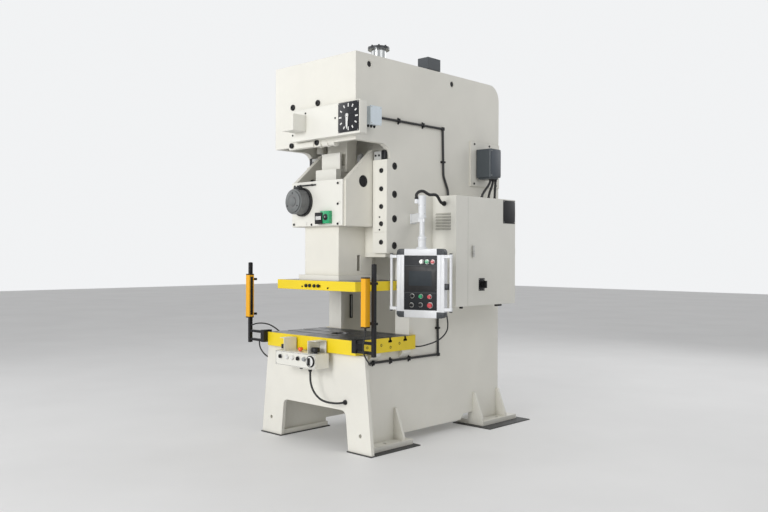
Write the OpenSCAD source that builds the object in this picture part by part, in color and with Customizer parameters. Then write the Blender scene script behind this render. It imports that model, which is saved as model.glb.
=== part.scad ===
// Gap-frame mechanical stamping press with a longitudinal crankshaft
// Millimetres. X to the operator's right, Y to the rear, Z up.
// The origin lies on the floor, at the centre of the four anchor bolts.

/* [Frame] */
// Height of the side plates' top above the floor
frame_h = 3200; // [3150:10:3400]
// Width over the two side plates
frame_w = 1003; // [980:1:1060]
// Thickness of each side plate
side_t = 50; // [40:1:56]
// Thickness of the head, top, rear and bearing plates
plate_t = 40; // [30:1:46]
// Distance from the anchor centre forward to the head's face
head_reach = 1052; // [1040:1:1075]
// Distance from the anchor centre back to the rear face
rear_reach = 876; // [850:1:930]
// Height of the head's front plate
head_h = 704; // [688:1:720]
// Radius of the relief between the head and the guide column
relief_r = 100; // [60:1:110]
// Radius of the side plates' top rear corner
corner_r = 140; // [60:1:155]
// Depth of the top plate below the side plates' top
top_sink = 160; // [120:1:175]
// Distance from the anchor centre forward to the throat's rear edge
throat_reach = 406; // [400:1:406]
// Depth of the throat's roof below the side plates' top
throat_drop = 1610; // [1570:1:1640]
// Fillet radius of the throat's upper corner
throat_r = 45; // [20:1:60]
// Width of the inner posts beside the throat
post_w = 111.5; // [80:0.5:130]
// Height of the bed's top above the floor
bed_h = 784; // [760:1:800]
// Thickness of the bed plate
bed_t = 60; // [40:1:80]
// Radius of the lifting holes in the head
lift_r = 24; // [16:1:30]

/* [Base] */
// Thickness of the front leg plate
apron_t = 32; // [24:1:40]
// Half width of the front leg plate at its top
apron_top = 602; // [580:1:620]
// Half width of the front leg plate at the floor
apron_foot = 684; // [660:1:700]
// Half width of the arch between the front legs at the floor
arch_half = 420; // [340:1:440]
// Height of the arch between the front legs
arch_h = 325; // [250:1:400]
// Thickness of the feet's base plates
foot_t = 40; // [30:1:48]
// Distance from the centre plane to the feet's outer edges
foot_half = 625; // [610:1:640]
// Distance across the press between the anchor bolts
anchor_x = 1130; // [1110:1:1150]
// Distance along the press between the anchor bolts
anchor_y = 1540; // [1500:1:1560]
// Radius of the anchor bolt holes
anchor_r = 17; // [13:1:22]
// Thickness of the pads under the feet
pad_t = 8; // [5:1:12]
// Height of the feet's gussets above the floor
gusset_h = 305; // [220:1:360]

/* [Bolster and slide] */
// Thickness of the bolster plate
bolster_t = 117; // [90:1:130]
// Width of the bolster plate
bolster_w = 1102; // [1040:1:1130]
// Depth of the bolster plate
bolster_d = 681; // [640:1:690]
// Width of the T-slots' necks
slot_w = 22; // [18:1:28]
// Spacing of the T-slots
slot_pitch = 184; // [120:1:190]
// Radius of the bolster's centre hole
bolster_hole_r = 90; // [50:1:140]
// Thickness of the slide's face plate
face_t = 80; // [60:1:90]
// Width of the slide's face plate
face_w = 974; // [920:1:976]
// Depth of the slide's face plate
face_d = 618; // [560:1:618]
// Radius of the punch shank hole
shank_r = 32.5; // [25:0.5:40]
// Depth of the punch shank hole above the face plate's underside
shank_depth = 150; // [110:1:180]
// Half width of the slide's upper box
slide_half = 335; // [320:1:335]
// Half width of the slide's lower column
column_half = 210; // [180:1:240]
// Height of the slide's lower column
column_h = 407; // [380:1:425]
// Height of the slide's side plates above the lower column
cheek_h = 692; // [640:1:700]
// Thickness of the slide's side plates
cheek_t = 45; // [30:1:50]
// Thickness of the slide's front cover
cover_t = 20; // [12:1:26]
// Length of the guides on the slide
guide_h = 590; // [500:1:600]
// Length of the front guide plates above the throat's roof
gib_h = 776; // [700:1:790]
// Thickness of the front guide plates
gib_t = 40; // [30:1:46]

/* [Drive] */
// Depth of the crankshaft's axis below the side plates' top
crank_drop = 460; // [456:1:465]
// Throw of the crankshaft, half of the stroke
throw_r = 100; // [90:1:100]
// Distance from the anchor centre forward to the die centre line
die_reach = 725; // [724:1:727]
// Radius of the main journals
journal_r = 85; // [70:1:90]
// Radius of the crank pin
pin_r = 80; // [65:1:85]
// Wall of the bronze bushes
bush_t = 20; // [12:1:24]
// Width of the connecting rod's big end
rod_w = 110; // [90:1:112]
// Outer radius of the connecting rod's big end
big_end_r = 150; // [135:1:160]
// Distance from the crank pin down to the ball's centre
rod_len = 840; // [835:1:845]
// Radius of the connecting rod's round lower end
rod_r = 110; // [95:1:110]
// Radius of the adjusting screw
screw_r = 65; // [50:1:72]
// Radius of the ball at the adjusting screw's foot
ball_r = 75; // [66:1:80]
// Teeth on the main gear
gear_teeth = 60; // [60]
// Teeth on the pinion
pinion_teeth = 15; // [15]
// Tooth module of the gear pair
gear_module = 8.2; // [8:0.05:8.25]
// Face width of the main gear
gear_w = 100; // [80:1:110]
// Radius of the pinion shaft
shaft_r = 45; // [35:1:50]
// Radius of the flywheel
wheel_r = 380; // [340:1:400]
// Width of the flywheel's rim
wheel_w = 140; // [110:1:150]
// Radius of the motor pulley
pulley_r = 90; // [75:1:110]
// Radius of the motor's body
motor_r = 140; // [120:1:160]
// Length of the motor's body
motor_len = 380; // [320:1:400]
// Outer radius of the balance cylinders
balance_r = 45; // [38:1:48]

/* [Head fittings] */
// Width of the dial box across the head
dial_box_w = 813; // [790:1:830]
// Depth of the dial box ahead of the head
dial_box_d = 77; // [72:1:110]
// Height of the dial box
dial_box_h = 262; // [240:1:262]
// Side of the square dial
dial_w = 226; // [200:1:228]
// Radius of the exhaust silencer's drum
silencer_r = 64; // [50:1:80]
// Height of the silencer above the top plate
silencer_h = 340; // [300:1:355]

/* [Cabinet] */
// Width of the control cabinet outward from the side plate
cabinet_w = 264.5; // [220:0.5:300]
// Depth of the control cabinet along the press
cabinet_d = 881; // [820:1:900]
// Height of the control cabinet
cabinet_h = 958; // [900:1:990]
// Height of the cabinet's underside above the floor
cabinet_base = 1136; // [1110:1:1150]
// Thickness of the cabinet's sheet
sheet_t = 3; // [2:0.5:4]
// Depth of the folded door
door_t = 22; // [18:1:30]

/* [Operator stations] */
// Width of the pendant panel
pendant_w = 420; // [380:1:430]
// Height of the pendant panel
pendant_h = 560; // [520:1:580]
// Depth of the pendant panel
pendant_d = 64; // [58:1:90]
// Turn of the pendant panel away from the front
pendant_turn = 18; // [10:1:25]
// Radius of the pendant's pipe
pipe_r = 21; // [18:1:25]
// Width of the two-hand control box
station_w = 500; // [460:1:520]
// Height of the two-hand control box
station_h = 120; // [110:1:125]
// Depth of the two-hand control box
station_d = 145; // [130:1:150]
// Height of the light curtain bars
curtain_h = 387; // [360:1:420]
// Side of the light curtain bars
curtain_w = 50; // [40:1:56]
// Distance from the centre plane to the light curtain bars
curtain_x = 724; // [715:1:732]

/* [Hidden] */
$fn = 48;

cream = [0.93, 0.91, 0.84];
yellow = [0.98, 0.82, 0.05];
steel = [0.55, 0.56, 0.58];
bright = [0.78, 0.79, 0.80];
bronze = [0.72, 0.55, 0.28];
dark = [0.10, 0.10, 0.11];
slate = [0.27, 0.30, 0.34];
drum_grey = [0.45, 0.46, 0.47];
pale_blue = [0.78, 0.81, 0.85];
green = [0.10, 0.62, 0.36];
red = [0.78, 0.12, 0.14];
orange = [0.95, 0.35, 0.10];

// clearances between round fits, sliding faces and free edges
fit = 0.05;
slip = 0.3;

// frame planes
side_x = frame_w / 2;
inner_x = side_x - side_t;
head_y = -head_reach;
plate_front = head_y + plate_t;
rear_y = rear_reach;
rear_in = rear_y - plate_t;
throat_y = -throat_reach;
top_z = frame_h - top_sink;
head_base = frame_h - head_h;
throat_top = frame_h - throat_drop;
top_under = top_z - plate_t;
apron_back = head_y + 10 + apron_t;
apron_y = head_y + 10;
foot_z = pad_t;
foot_top = pad_t + foot_t;
post_x = inner_x - post_w;

// guide column: the front guide plates stand ahead of the side plates' front edge
gib_back = -649;
gib_y = gib_back - gib_t;
gib_in = slide_half + 5;
gib_top = throat_top + 5 + gib_h;

// crank train, with the pin at the bottom of its circle
crank_z = frame_h - crank_drop;
pin_z = crank_z - throw_r;
ball_z = pin_z - rod_len;

// die centre line, and the slide's levels as it hangs from the crank at the bottom of the stroke
die_y = -die_reach;
bolster_top = bed_h + bolster_t;
cheek_z = ball_z + 15;
cheek_top = cheek_z + cheek_h - 45;
column_z = cheek_z - 45 - column_h;
face_z = column_z - face_t;
slide_front = head_y + 36;
slide_rear = -560;
guide_z = cheek_z - 255;
guide_top = guide_z + guide_h;

// crank pin, webs, bearings, gears and motor
pin_half = rod_w / 2 + 4;
web_in = pin_half + slip;
web_t = 50;
bush_r = journal_r + bush_t;
boss_back = head_y + 132;
wall_front = -500;
wall_t = plate_t + 30;
wall_back = wall_front + wall_t;
gear_r = gear_module * gear_teeth / 2;
pinion_r = gear_module * pinion_teeth / 2;
pinion_z = crank_z - gear_r - pinion_r;
gear_y = wall_back + 20;
drive_wall_y = 430;
wheel_y = drive_wall_y + wall_t + 60;
motor_z = top_z + motor_r + 30;
motor_y = wheel_y - 60 - motor_len;
rod_foot = ball_z + 210;
rod_shoulder = rod_foot + 330;

// dial box and its chain drive
dial_box_x = -186;
dial_box_z = head_base + 32;
dial_z = dial_box_z + 147;
dial_box_y = head_y - dial_box_d;
dial_x = dial_box_x + dial_box_w - 136;
dial_t = 4;
sprocket_r = 34;
sprocket_y = head_y - 50;

// cabinet on the right side plate
cabinet_x = side_x + cabinet_w;
cabinet_y = -105;
cabinet_top = cabinet_base + cabinet_h;
cabinet_rear = cabinet_y + cabinet_d;
seam_y = cabinet_y + 168;
hinge_r = 6;
hinge_x = cabinet_x - 10;
hinge_y = cabinet_rear + 7;
handle_z = cabinet_base + 476;
switch_z = cabinet_base + 186;

// pendant on its pipe
pipe_x = side_x + 258.5;
pipe_y = throat_y - 136;
pendant_z = 1630;
button_r = 15;

// two-hand control box under the bolster's front edge
station_y = -1245;
station_top = bed_h - 4;
station_z = station_top - station_h;

// light curtains ahead of the bolster's corners
curtain_y = head_y - 105;
curtain_z = bed_h + 236;
tube_x = curtain_x + 49;
tube_y = curtain_y + 43;
tube_z = bed_h + 12;
tube_h = 711;
tube_half = 14;

// routes of the cords and conduits, points along each centre line
control_hose_r = 9;
control_hose_route = [[104, -1170, 640], [104, -1170, 612], [105, -1170, 580], [108, -1170, 550],
    [115, -1169, 520], [127, -1167, 491], [143, -1164, 465], [163, -1160, 442], [187, -1155, 423],
    [213, -1150, 408], [241, -1144, 399], [268, -1139, 394], [295, -1134, 392], [319, -1130, 392],
    [341, -1127, 392], [360, -1117, 392], [376, -1101, 393], [386, -1082, 394], [389, -1060, 394],
    [389, -1042, 394]];
cable_r = 6;
hanging_route = [[640, -80, 1136], [640, -80, 1105], [641, -76, 1070], [643, -70, 1034],
    [644, -64, 998], [642, -60, 962], [636, -62, 928], [628, -76, 898], [620, -102, 872],
    [611, -136, 850], [600, -172, 834], [588, -208, 822], [575, -244, 813], [563, -274, 806],
    [551, -299, 801], [537, -319, 798], [522, -330, 797], [510, -332, 797], [501.5, -332, 797]];
post_route = [[-640, -1114, 814], [-640, -1114, 790], [-640, -1107, 762], [-640, -1092, 734],
    [-639, -1070, 706], [-636, -1044, 682], [-628, -1016, 662], [-613, -989, 648], [-590, -967, 638],
    [-562, -951, 633], [-530, -944, 632], [-501.5, -944, 632]];
curtain_route = [[-759, -1114, 952], [-739, -1114, 952], [-711, -1107, 962], [-681, -1088, 968],
    [-652, -1062, 968], [-628, -1032, 960], [-612, -1000, 945], [-601, -966, 922], [-594, -934, 896],
    [-588, -908, 872], [-580, -890, 853], [-566, -884, 846], [-551, -884, 846]];
loop_route = [[724, -1157, 1020], [724, -1157, 996], [720, -1157, 966], [711, -1156, 934],
    [702, -1154, 900], [696, -1151, 866], [694, -1146, 834], [692, -1135, 806], [688, -1116, 782],
    [680, -1092, 760], [668, -1064, 740], [652, -1036, 724], [632, -1008, 713], [608, -983, 707],
    [582, -961, 704], [556, -943, 704], [534, -926, 704], [519, -908, 704], [512, -896, 704],
    [512, -880, 704]];
arm_hose_r = 13;
arm_hose_route = [[726, -574, 2035], [726, -574, 2052], [726, -573, 2074], [733, -556, 2094],
    [742, -532, 2103], [748, -507, 2101], [749, -481, 2092], [745, -452, 2084], [738, -420, 2080],
    [729, -384, 2082], [718, -346, 2086], [706, -306, 2086], [694, -270, 2078], [682, -240, 2064],
    [670, -212, 2049], [658, -184, 2037], [648, -156, 2029], [637, -128, 2026], [637, -105, 2026]];

function arc(c, r, from, to, steps) =
    [for (i = [0 : steps]) let (a = from + (to - from) * i / steps) [c[0] + r * cos(a), c[1] + r * sin(a)]];

// involute helpers for the gear teeth
function involute(base, r) = let (a = acos(min(1, base / r))) tan(a) * 180 / PI - a;

function tooth_flank(base, pitch, r, half) = half + involute(base, pitch) - involute(base, r);

function gear_points(teeth, m, backlash) =
    let (pitch = m * teeth / 2, base = pitch * cos(20), tip = pitch + m, root = pitch - 1.25 * m,
         low = max(base, root) + 0.2, half = 90 / teeth - backlash, radii = [low, pitch, tip])
    [for (i = [0 : teeth - 1], p = [0 : 7])
        let (turn = 360 * i / teeth,
             r = p == 0 || p == 7 ? root : p < 4 ? radii[p - 1] : radii[6 - p],
             a = tooth_flank(base, pitch, max(r, low), half) + (p == 0 || p == 7 ? 0.1 : 0),
             side = p < 4 ? -1 : 1)
        [r * cos(turn + side * a), r * sin(turn + side * a)]];

// a box given by its corners' ranges
module block(x, y, z) {
    translate([x[0], y[0], z[0]]) cube([x[1] - x[0], y[1] - y[0], z[1] - z[0]]);
}

// round bars along each axis
module bar_x(x, y, z, r) {
    translate([x[0], y, z]) rotate([0, 90, 0]) cylinder(r = r, h = x[1] - x[0]);
}

module bar_y(x, y, z, r) {
    translate([x, y[1], z]) rotate([90, 0, 0]) cylinder(r = r, h = y[1] - y[0]);
}

module bar_z(x, y, z, r) {
    translate([x, y, z[0]]) cylinder(r = r, h = z[1] - z[0]);
}

// outlines drawn in Y and Z, then carried along X, and the same in X and Z along Y
module along_x(x) {
    translate([x[0], 0, 0]) rotate([90, 0, 90]) linear_extrude(x[1] - x[0]) children();
}

module along_y(y) {
    translate([0, y[1], 0]) rotate([90, 0, 0]) linear_extrude(y[1] - y[0]) children();
}

module along_z(z) {
    translate([0, 0, z[0]]) linear_extrude(z[1] - z[0]) children();
}

module both_sides() {
    children();
    mirror([1, 0, 0]) children();
}

module rounded_square(size, r) {
    x = size[0] / 2 - r;
    y = size[1] / 2 - r;
    polygon(concat(arc([x, y], r, 0, 90, 6), arc([-x, y], r, 90, 180, 6), arc([-x, -y], r, 180, 270, 6),
                   arc([x, -y], r, 270, 360, 6)));
}

// a round tube swept along a route, as one closed skin
function unit(v) = v / norm(v);

function tangents(route) = [for (i = [0 : len(route) - 1])
    unit(route[min(i + 1, len(route) - 1)] - route[max(i - 1, 0)])];

function frames(route, t, i, seed) = i == len(route) ? [] :
    let (n = unit(seed - (seed * t[i]) * t[i])) concat([n], frames(route, t, i + 1, n));

function ring(centre, t, n, r, sides) = let (b = cross(t, n))
    [for (k = [0 : sides - 1]) centre + r * (cos(360 * k / sides) * n + sin(360 * k / sides) * b)];

module hose(route, r, sides = 8) {
    t = tangents(route);
    seed = abs(t[0][2]) > 0.8 ? [0.1, 1, 0] : [0.05, 0.1, 1];
    n = frames(route, t, 0, seed);
    last = len(route) - 1;
    points = [for (i = [0 : last], p = ring(route[i], t[i], n[i], r, sides)) p];
    walls = [for (i = [0 : last - 1], k = [0 : sides - 1])
        let (a = i * sides + k, b = i * sides + (k + 1) % sides) [a, b, b + sides, a + sides]];
    start = [for (k = [sides - 1 : -1 : 0]) k];
    end = [for (k = [0 : sides - 1]) last * sides + k];
    polyhedron(points, concat([start], [end], walls), convexity = 6);
}

// a conduit: straight runs between corners, each corner rounded by a short arc of points
function bend(a, b, c, r) = let (u = unit(a - b), v = unit(c - b))
    [for (s = [0 : 4]) let (k = s / 4, p = b + r * u, q = b + r * v)
        (1 - k) * (1 - k) * p + 2 * k * (1 - k) * b + k * k * q];

function rounded(corners, r) = concat([corners[0]],
    [for (i = [1 : len(corners) - 2], p = bend(corners[i - 1], corners[i], corners[i + 1], r)) p],
    [corners[len(corners) - 1]]);

module side_outline() {
    polygon(concat(
        [[plate_front, head_base]],
        arc([gib_back - relief_r, head_base - relief_r], relief_r, 90, 0, 10),
        [[gib_back, throat_top]],
        arc([throat_y - throat_r, throat_top - throat_r], throat_r, 90, 0, 6),
        [[throat_y, bed_h], [apron_back, bed_h], [apron_back, foot_top], [-491, foot_top],
            [-491, foot_top + 30],
         [300, foot_top + 30], [350, foot_top + 80], [480, foot_top + 80], [480, foot_top],
             [rear_y, foot_top]],
        arc([rear_y - corner_r, frame_h - corner_r], corner_r, 0, 90, 10),
        [[plate_front, frame_h]]));
}

module side_plate() {
    color(cream) difference() {
        along_x([inner_x, side_x]) side_outline();
        for (z = gib_screw_levels()) bar_x([side_x - 30, side_x + 1], -594, z, 31);
        for (y = [head_y + 151, 157]) bar_x([inner_x - 1, side_x + 1], y, frame_h - 82, lift_r);
    }
}

function gib_screw_levels() = [for (d = [67, 291, 495, 730]) throat_top + d];

function gib_bolt_levels() = [for (d = [95, 248, 391, 538, 690]) throat_top + d];

module bolster_lug(y) {
    along_y(y) polygon([[side_x, bed_h], [side_x + 44, bed_h], [side_x + 44, bed_h - 20],
        [side_x, bed_h - 66]]);
}

module side_plate_right() {
    side_plate();
    color(cream) bolster_lug([-903, -798]);
    color(cream) bolster_lug([-540, -430]);
}

module side_plate_left() {
    mirror([1, 0, 0]) side_plate_right();
}

module head_face() {
    difference() {
        block([-side_x, side_x], [head_y, plate_front], [head_base, frame_h]);
        bar_y(0, [head_y - 1, plate_front + 1], crank_z, 60);
        for (x = [-267, 50]) bar_y(x, [head_y - 1, head_y + 15], head_base + 342, 20);
    }
    difference() {
        union() {
            block([-310, dial_box_x], [head_y - 5, head_y + 30], [head_base - 20, head_base + 42]);
            block([dial_box_x, 92], [head_y - 5, head_y + 30], [head_base - 20, dial_box_z]);
            block([-232, 14], [head_y - 14, head_y], [head_base - 16, head_base + 26]);
        }
        for (x = [-267, 50]) bar_y(x, [head_y - 15, head_y + 10], head_base + 14, 17);
    }
    bar_x([60, 250], head_y + 30, head_base + 4, 26);
    for (x = [60, 150, 228]) bar_x([x, x + 22], head_y + 30, head_base + 4, 33);
}

module top_deck() {
    difference() {
        block([-inner_x, inner_x], [plate_front, rear_in], [top_under, top_z]);
        block([-230, 230], [wheel_y - 15, wheel_y + wheel_w + 15], [top_under - 1, top_z + 1]);
    }
}

module rear_wall() {
    difference() {
        block([-inner_x, inner_x], [rear_in, rear_y], [foot_top, top_z]);
        block([-300, 300], [rear_in - 1, rear_y + 1], [foot_top - 1, 320]);
        block([-post_x, post_x], [rear_in - 1, rear_y + 1], [bolster_top + 60, throat_top - 40]);
        block([-wheel_r - 15, wheel_r + 15], [rear_in - 1, rear_y + 1],
              [pinion_z - wheel_r - 25, pinion_z + wheel_r]);
    }
}

module bearing_wall() {
    difference() {
        block([-inner_x, inner_x], [wall_front, wall_back], [pinion_z - 160, top_under]);
        bar_y(0, [wall_front - 1, wall_back + 1], crank_z, bush_r + fit);
        bar_y(0, [wall_front - 1, wall_back + 1], pinion_z, shaft_r + fit);
    }
}

module drive_wall() {
    difference() {
        block([-inner_x, inner_x], [drive_wall_y, drive_wall_y + wall_t], [pinion_z - 300, top_under]);
        bar_y(0, [drive_wall_y - 1, drive_wall_y + wall_t + 1], pinion_z, shaft_r + fit);
    }
}

module front_boss() {
    difference() {
        union() {
            bar_y(0, [plate_front, boss_back], crank_z, bush_r + 45);
            block([-20, 20], [plate_front, boss_back], [crank_z + bush_r + 30, top_under]);
        }
        bar_y(0, [plate_front - 1, boss_back + 1], crank_z, bush_r + fit);
    }
}

module bed_deck() {
    difference() {
        block([-inner_x, inner_x], [apron_back, throat_y + 40], [bed_h - bed_t, bed_h]);
        bar_z(0, die_y, [bed_h - bed_t - 1, bed_h + 1], bolster_hole_r + 60);
    }
}

module frame_plates() {
    color(cream) {
        head_face();
        front_boss();
        top_deck();
        rear_wall();
        bearing_wall();
        drive_wall();
        bed_deck();
        block([-inner_x, inner_x], [throat_y, rear_in], [throat_top, throat_top + plate_t]);
        both_sides() block([post_x, inner_x], [throat_y, throat_y + plate_t], [bed_h, throat_top]);
    }
}

module rear_cover() {
    half = wheel_r + 45;
    low = pinion_z - wheel_r - 55;
    high = pinion_z + wheel_r + 30;
    color(cream) difference() {
        block([-half, half], [rear_y, rear_y + 4], [low, high]);
        for (i = [0 : 7], x = [-150, 150])
            block([x - 90, x + 90], [rear_y - 1, rear_y + 5], [low + 90 + 40 * i, low + 102 + 40 * i]);
    }
}

module apron() {
    half = arch_half - 33;
    right = concat([[arch_half, foot_z]], arc([half - 45, arch_h - 50], 50, 0, 90, 6));
    left = [for (i = [len(right) - 1 : -1 : 0]) [-right[i][0], right[i][1]]];
    color(cream) difference() {
        along_y([apron_y, apron_back]) polygon(concat(
            [[-apron_foot, foot_z], [-apron_top, bed_h - 4], [apron_top, bed_h - 4], [apron_foot, foot_z]],
            right, left));
        for (x = [-557, 557]) bar_y(x, [apron_y - 1, apron_back + 1], 147, 16);
    }
}

module gusset(y) {
    edge = foot_half - 12;
    along_y([y - 12, y + 12]) polygon([[side_x, foot_top], [edge, foot_top], [edge, foot_top + 25],
                                       [side_x + 20, gusset_h], [side_x, gusset_h]]);
}

module foot(in_x, front, back) {
    difference() {
        block([in_x, foot_half], [front, back], [foot_z, foot_top]);
        for (y = [-anchor_y / 2, anchor_y / 2]) bar_z(anchor_x / 2, y, [foot_z - 1, foot_top + 1],
            anchor_r);
    }
}

module feet() {
    color(cream) both_sides() {
        union() {
            foot(arch_half + 5, apron_back, -491);
            gusset(-585);
        }
        union() {
            foot(320, 480, 1010);
            gusset(495);
            gusset(rear_y - 20);
        }
    }
}

module foot_pad(x, y) {
    difference() {
        block(x, y, [0, pad_t]);
        for (s = [-anchor_y / 2, anchor_y / 2]) bar_z(anchor_x / 2, s, [-1, pad_t + 1], anchor_r);
    }
}

module foot_pads() {
    color(dark) both_sides() {
        foot_pad([arch_half - 5, apron_foot + 6], [apron_y - 12, -470]);
        foot_pad([310, 740], [430, 1070]);
    }
}

module gibs() {
    seam = throat_top + 180;
    color(cream) both_sides() {
        difference() {
            block([gib_in, side_x], [gib_y, gib_back], [throat_top + 5, seam - 1]);
            bar_y(gib_bolt_x(), [gib_y - 1, gib_y + 18], gib_bolt_levels()[0], 17);
        }
        difference() {
            block([gib_in, side_x], [gib_y, gib_back], [seam, gib_top]);
            for (i = [1 : 4]) bar_y(gib_bolt_x(), [gib_y - 1, gib_y + 18], gib_bolt_levels()[i], 17);
        }
        block([gib_in + 15, inner_x], [slide_rear + slip, wall_front - 10],
            [throat_top + plate_t, gib_top]);
    }
}

function gib_bolt_x() = (gib_in + side_x) / 2 + 19;

module cap_screw(r, h) {
    difference() {
        cylinder(r = r, h = h);
        translate([0, 0, h / 2]) cylinder(r = r * 0.55, h = h, $fn = 6);
    }
}

module frame_bolts() {
    color(dark) both_sides() {
        for (z = gib_bolt_levels()) translate([gib_bolt_x(), gib_y + 18, z]) rotate([90, 0,
            0]) cap_screw(15, 15);
        for (z = gib_screw_levels()) translate([side_x - 30, -594, z]) rotate([0, 90, 0]) cap_screw(27, 22);
    }
}

module t_slot(y, top, x) {
    block(x, [y - slot_w / 2, y + slot_w / 2], [top - 40, top + 1]);
    block(x, [y - slot_w, y + slot_w], [top - 40, top - 22]);
}

// the bolster runs on outside the side plates, to a rounded end
module bolster_wing(half, rear) {
    r = 45;
    end = rear + 57;
    along_z([bed_h, bolster_top]) polygon(concat([[side_x + slip, rear - 20], [half, rear - 20]],
        arc([half - r, end - r], r, 0, 90, 8), [[side_x + slip, end]]));
}

module bolster() {
    half = bolster_w / 2;
    rear = throat_y - 3;
    color(yellow) difference() {
        union() {
            block([-half, half], [rear - bolster_d, rear], [bed_h, bolster_top]);
            both_sides() bolster_wing(half, rear);
        }
        for (i = [0 : 2]) t_slot(rear - 101 - slot_pitch * i, bolster_top, [-half - 1, half + 1]);
        bar_z(0, die_y, [bed_h - 1, bolster_top + 1], bolster_hole_r);
    }
}

module crank_bushes() {
    color(bronze) for (y = [[plate_front, boss_back], [wall_front, wall_back]]) difference() {
        bar_y(0, y, crank_z, bush_r);
        bar_y(0, [y[0] - 1, y[1] + 1], crank_z, journal_r + fit);
    }
}

module motor() {
    back = motor_y + motor_len;
    color(slate) {
        difference() {
            union() {
                bar_y(0, [motor_y, back], motor_z, motor_r - 12);
                for (a = [0 : 10 : 350]) translate([0, 0, motor_z]) rotate([0, a, 0])
                    block([-3, 3], [motor_y + 60, back - 30], [motor_r - 14, motor_r]);
                bar_y(0, [back - 26, back], motor_z, motor_r);
                bar_y(0, [motor_y, motor_y + 50], motor_z, motor_r - 4);
            }
            bar_y(0, [back - 40, back + 1], motor_z, 24 + fit);
        }
        difference() {
            block([-120, 120], [motor_y + 90, back - 60], [top_z, motor_z - motor_r * 0.7]);
            bar_y(0, [motor_y, back], motor_z, motor_r + 0.1);
            block([-70, 70], [motor_y + 80, back - 50], [top_z - 1, top_z + 30]);
        }
        block([52, 178], [motor_y + 85, motor_y + 265], [motor_z + motor_r - 30, motor_z + motor_r + 80]);
    }
}

module belt_loop(r_low, r_high, thick) {
    difference() {
        hull() {
            translate([0, pinion_z]) circle(r = r_low + thick, $fn = 96);
            translate([0, motor_z]) circle(r = r_high + thick, $fn = 64);
        }
        hull() {
            translate([0, pinion_z]) circle(r = r_low, $fn = 96);
            translate([0, motor_z]) circle(r = r_high, $fn = 64);
        }
    }
}

module chain_loop(r, thick) {
    difference() {
        hull() for (p = [[0, crank_z], [dial_x, dial_z]]) translate(p) circle(r = r + thick);
        hull() for (p = [[0, crank_z], [dial_x, dial_z]]) translate(p) circle(r = r);
    }
}

module drive_belts() {
    color(dark) {
        for (i = [0 : 3]) along_y([wheel_y + 14 + 30 * i, wheel_y + 36 + 30 * i])
            belt_loop(wheel_r + slip, pulley_r + slip, 13);
        along_y([sprocket_y, sprocket_y + 10]) chain_loop(sprocket_r + slip, 7);
    }
}

module brake_housing() {
    color(drum_grey) difference() {
        union() {
            bar_y(0, [drive_wall_y - 90, drive_wall_y], pinion_z, 165);
            bar_y(0, [drive_wall_y - 60, drive_wall_y - 30], pinion_z, 185);
        }
        bar_y(0, [drive_wall_y - 91, drive_wall_y + 1], pinion_z, shaft_r + fit);
    }
}

function balance_x() = inner_x - balance_r - 6.5;

module balance_cylinders() {
    low = head_base - 6;
    color(drum_grey) both_sides() difference() {
        union() {
            bar_z(balance_x(), -600, [low, top_under], balance_r);
            block([balance_x(), inner_x], [-625, -575], [top_under - 60, top_under - 10]);
        }
        bar_z(balance_x(), -600, [low + 20, top_under - 20], balance_r - 9);
        bar_z(balance_x(), -600, [low - 1, low + 21], 14 + fit);
    }
}

module balance_rods() {
    color(bright) both_sides() {
        bar_z(balance_x(), -600, [guide_top, head_base + 64], 14);
        bar_z(balance_x(), -600, [head_base + 64, head_base + 94], balance_r - 9 - fit);
    }
}

module silencer() {
    x = 200;
    y = -480;
    color(bright) union() {
        bar_z(x, y, [top_z, top_z + 24], silencer_r + 22);
        bar_z(x, y, [top_z + 24, top_z + silencer_h - 24], silencer_r);
        bar_z(x, y, [top_z + silencer_h - 24, top_z + silencer_h], silencer_r + 30);
        for (a = [0 : 45 : 315]) translate([x, y, 0]) rotate([0, 0, a])
            bar_z(silencer_r + 17, 0, [top_z + silencer_h, top_z + silencer_h + 10], 8);
    }
}

module dial_box() {
    right = dial_box_x + dial_box_w;
    top = dial_box_z + dial_box_h;
    wall = 5;
    color(cream) difference() {
        union() {
            block([dial_box_x, right], [dial_box_y, head_y], [dial_box_z, top]);
            block([-9, -5], [dial_box_y - 140, dial_box_y], [dial_box_z + 74, dial_box_z + 205]);
            block([-148, -5], [dial_box_y - 140, dial_box_y], [dial_box_z + 70, dial_box_z + 74]);
        }
        block([dial_box_x + wall, right - wall], [dial_box_y + wall, head_y - wall],
            [dial_box_z + wall, top - wall]);
        bar_y(0, [head_y - wall - 1, head_y + 1], crank_z, 62);
        bar_y(dial_x, [dial_box_y - 1, dial_box_y + wall + 1], dial_z, 8 + fit);
    }
    color(dark) difference() {
        block([right - 10 - dial_w, right - 10], [dial_box_y - dial_t, dial_box_y],
              [dial_box_z + 20, dial_box_z + 20 + dial_w]);
        bar_y(dial_x, [dial_box_y - dial_t - 1, dial_box_y + 1], dial_z, 8 + fit);
    }
}

module dial_pointer() {
    face = dial_box_y - dial_t;
    color(bright) union() {
        bar_y(dial_x, [face - 8, sprocket_y + 10], dial_z, 8);
        bar_y(dial_x, [sprocket_y, sprocket_y + 10], dial_z, sprocket_r);
        bar_y(dial_x, [face - 8, face - 2], dial_z, 17);
        along_y([face - 7, face - 3]) translate([dial_x, dial_z])
            polygon([[-14, 0], [-11, -85], [0, -108], [6, -85], [14, 0]]);
    }
}

junction_back = head_y + 172;
run_z = bed_h - 80;

module head_junction_box() {
    x = side_x + 118;
    low = frame_h - 584;
    high = frame_h - 445;
    color(pale_blue) union() {
        block([side_x, x - 12], [head_y + 56, junction_back], [low, high]);
        block([x - 12, x], [head_y + 52, junction_back + 4], [low - 4, high + 4]);
    }
}

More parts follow.
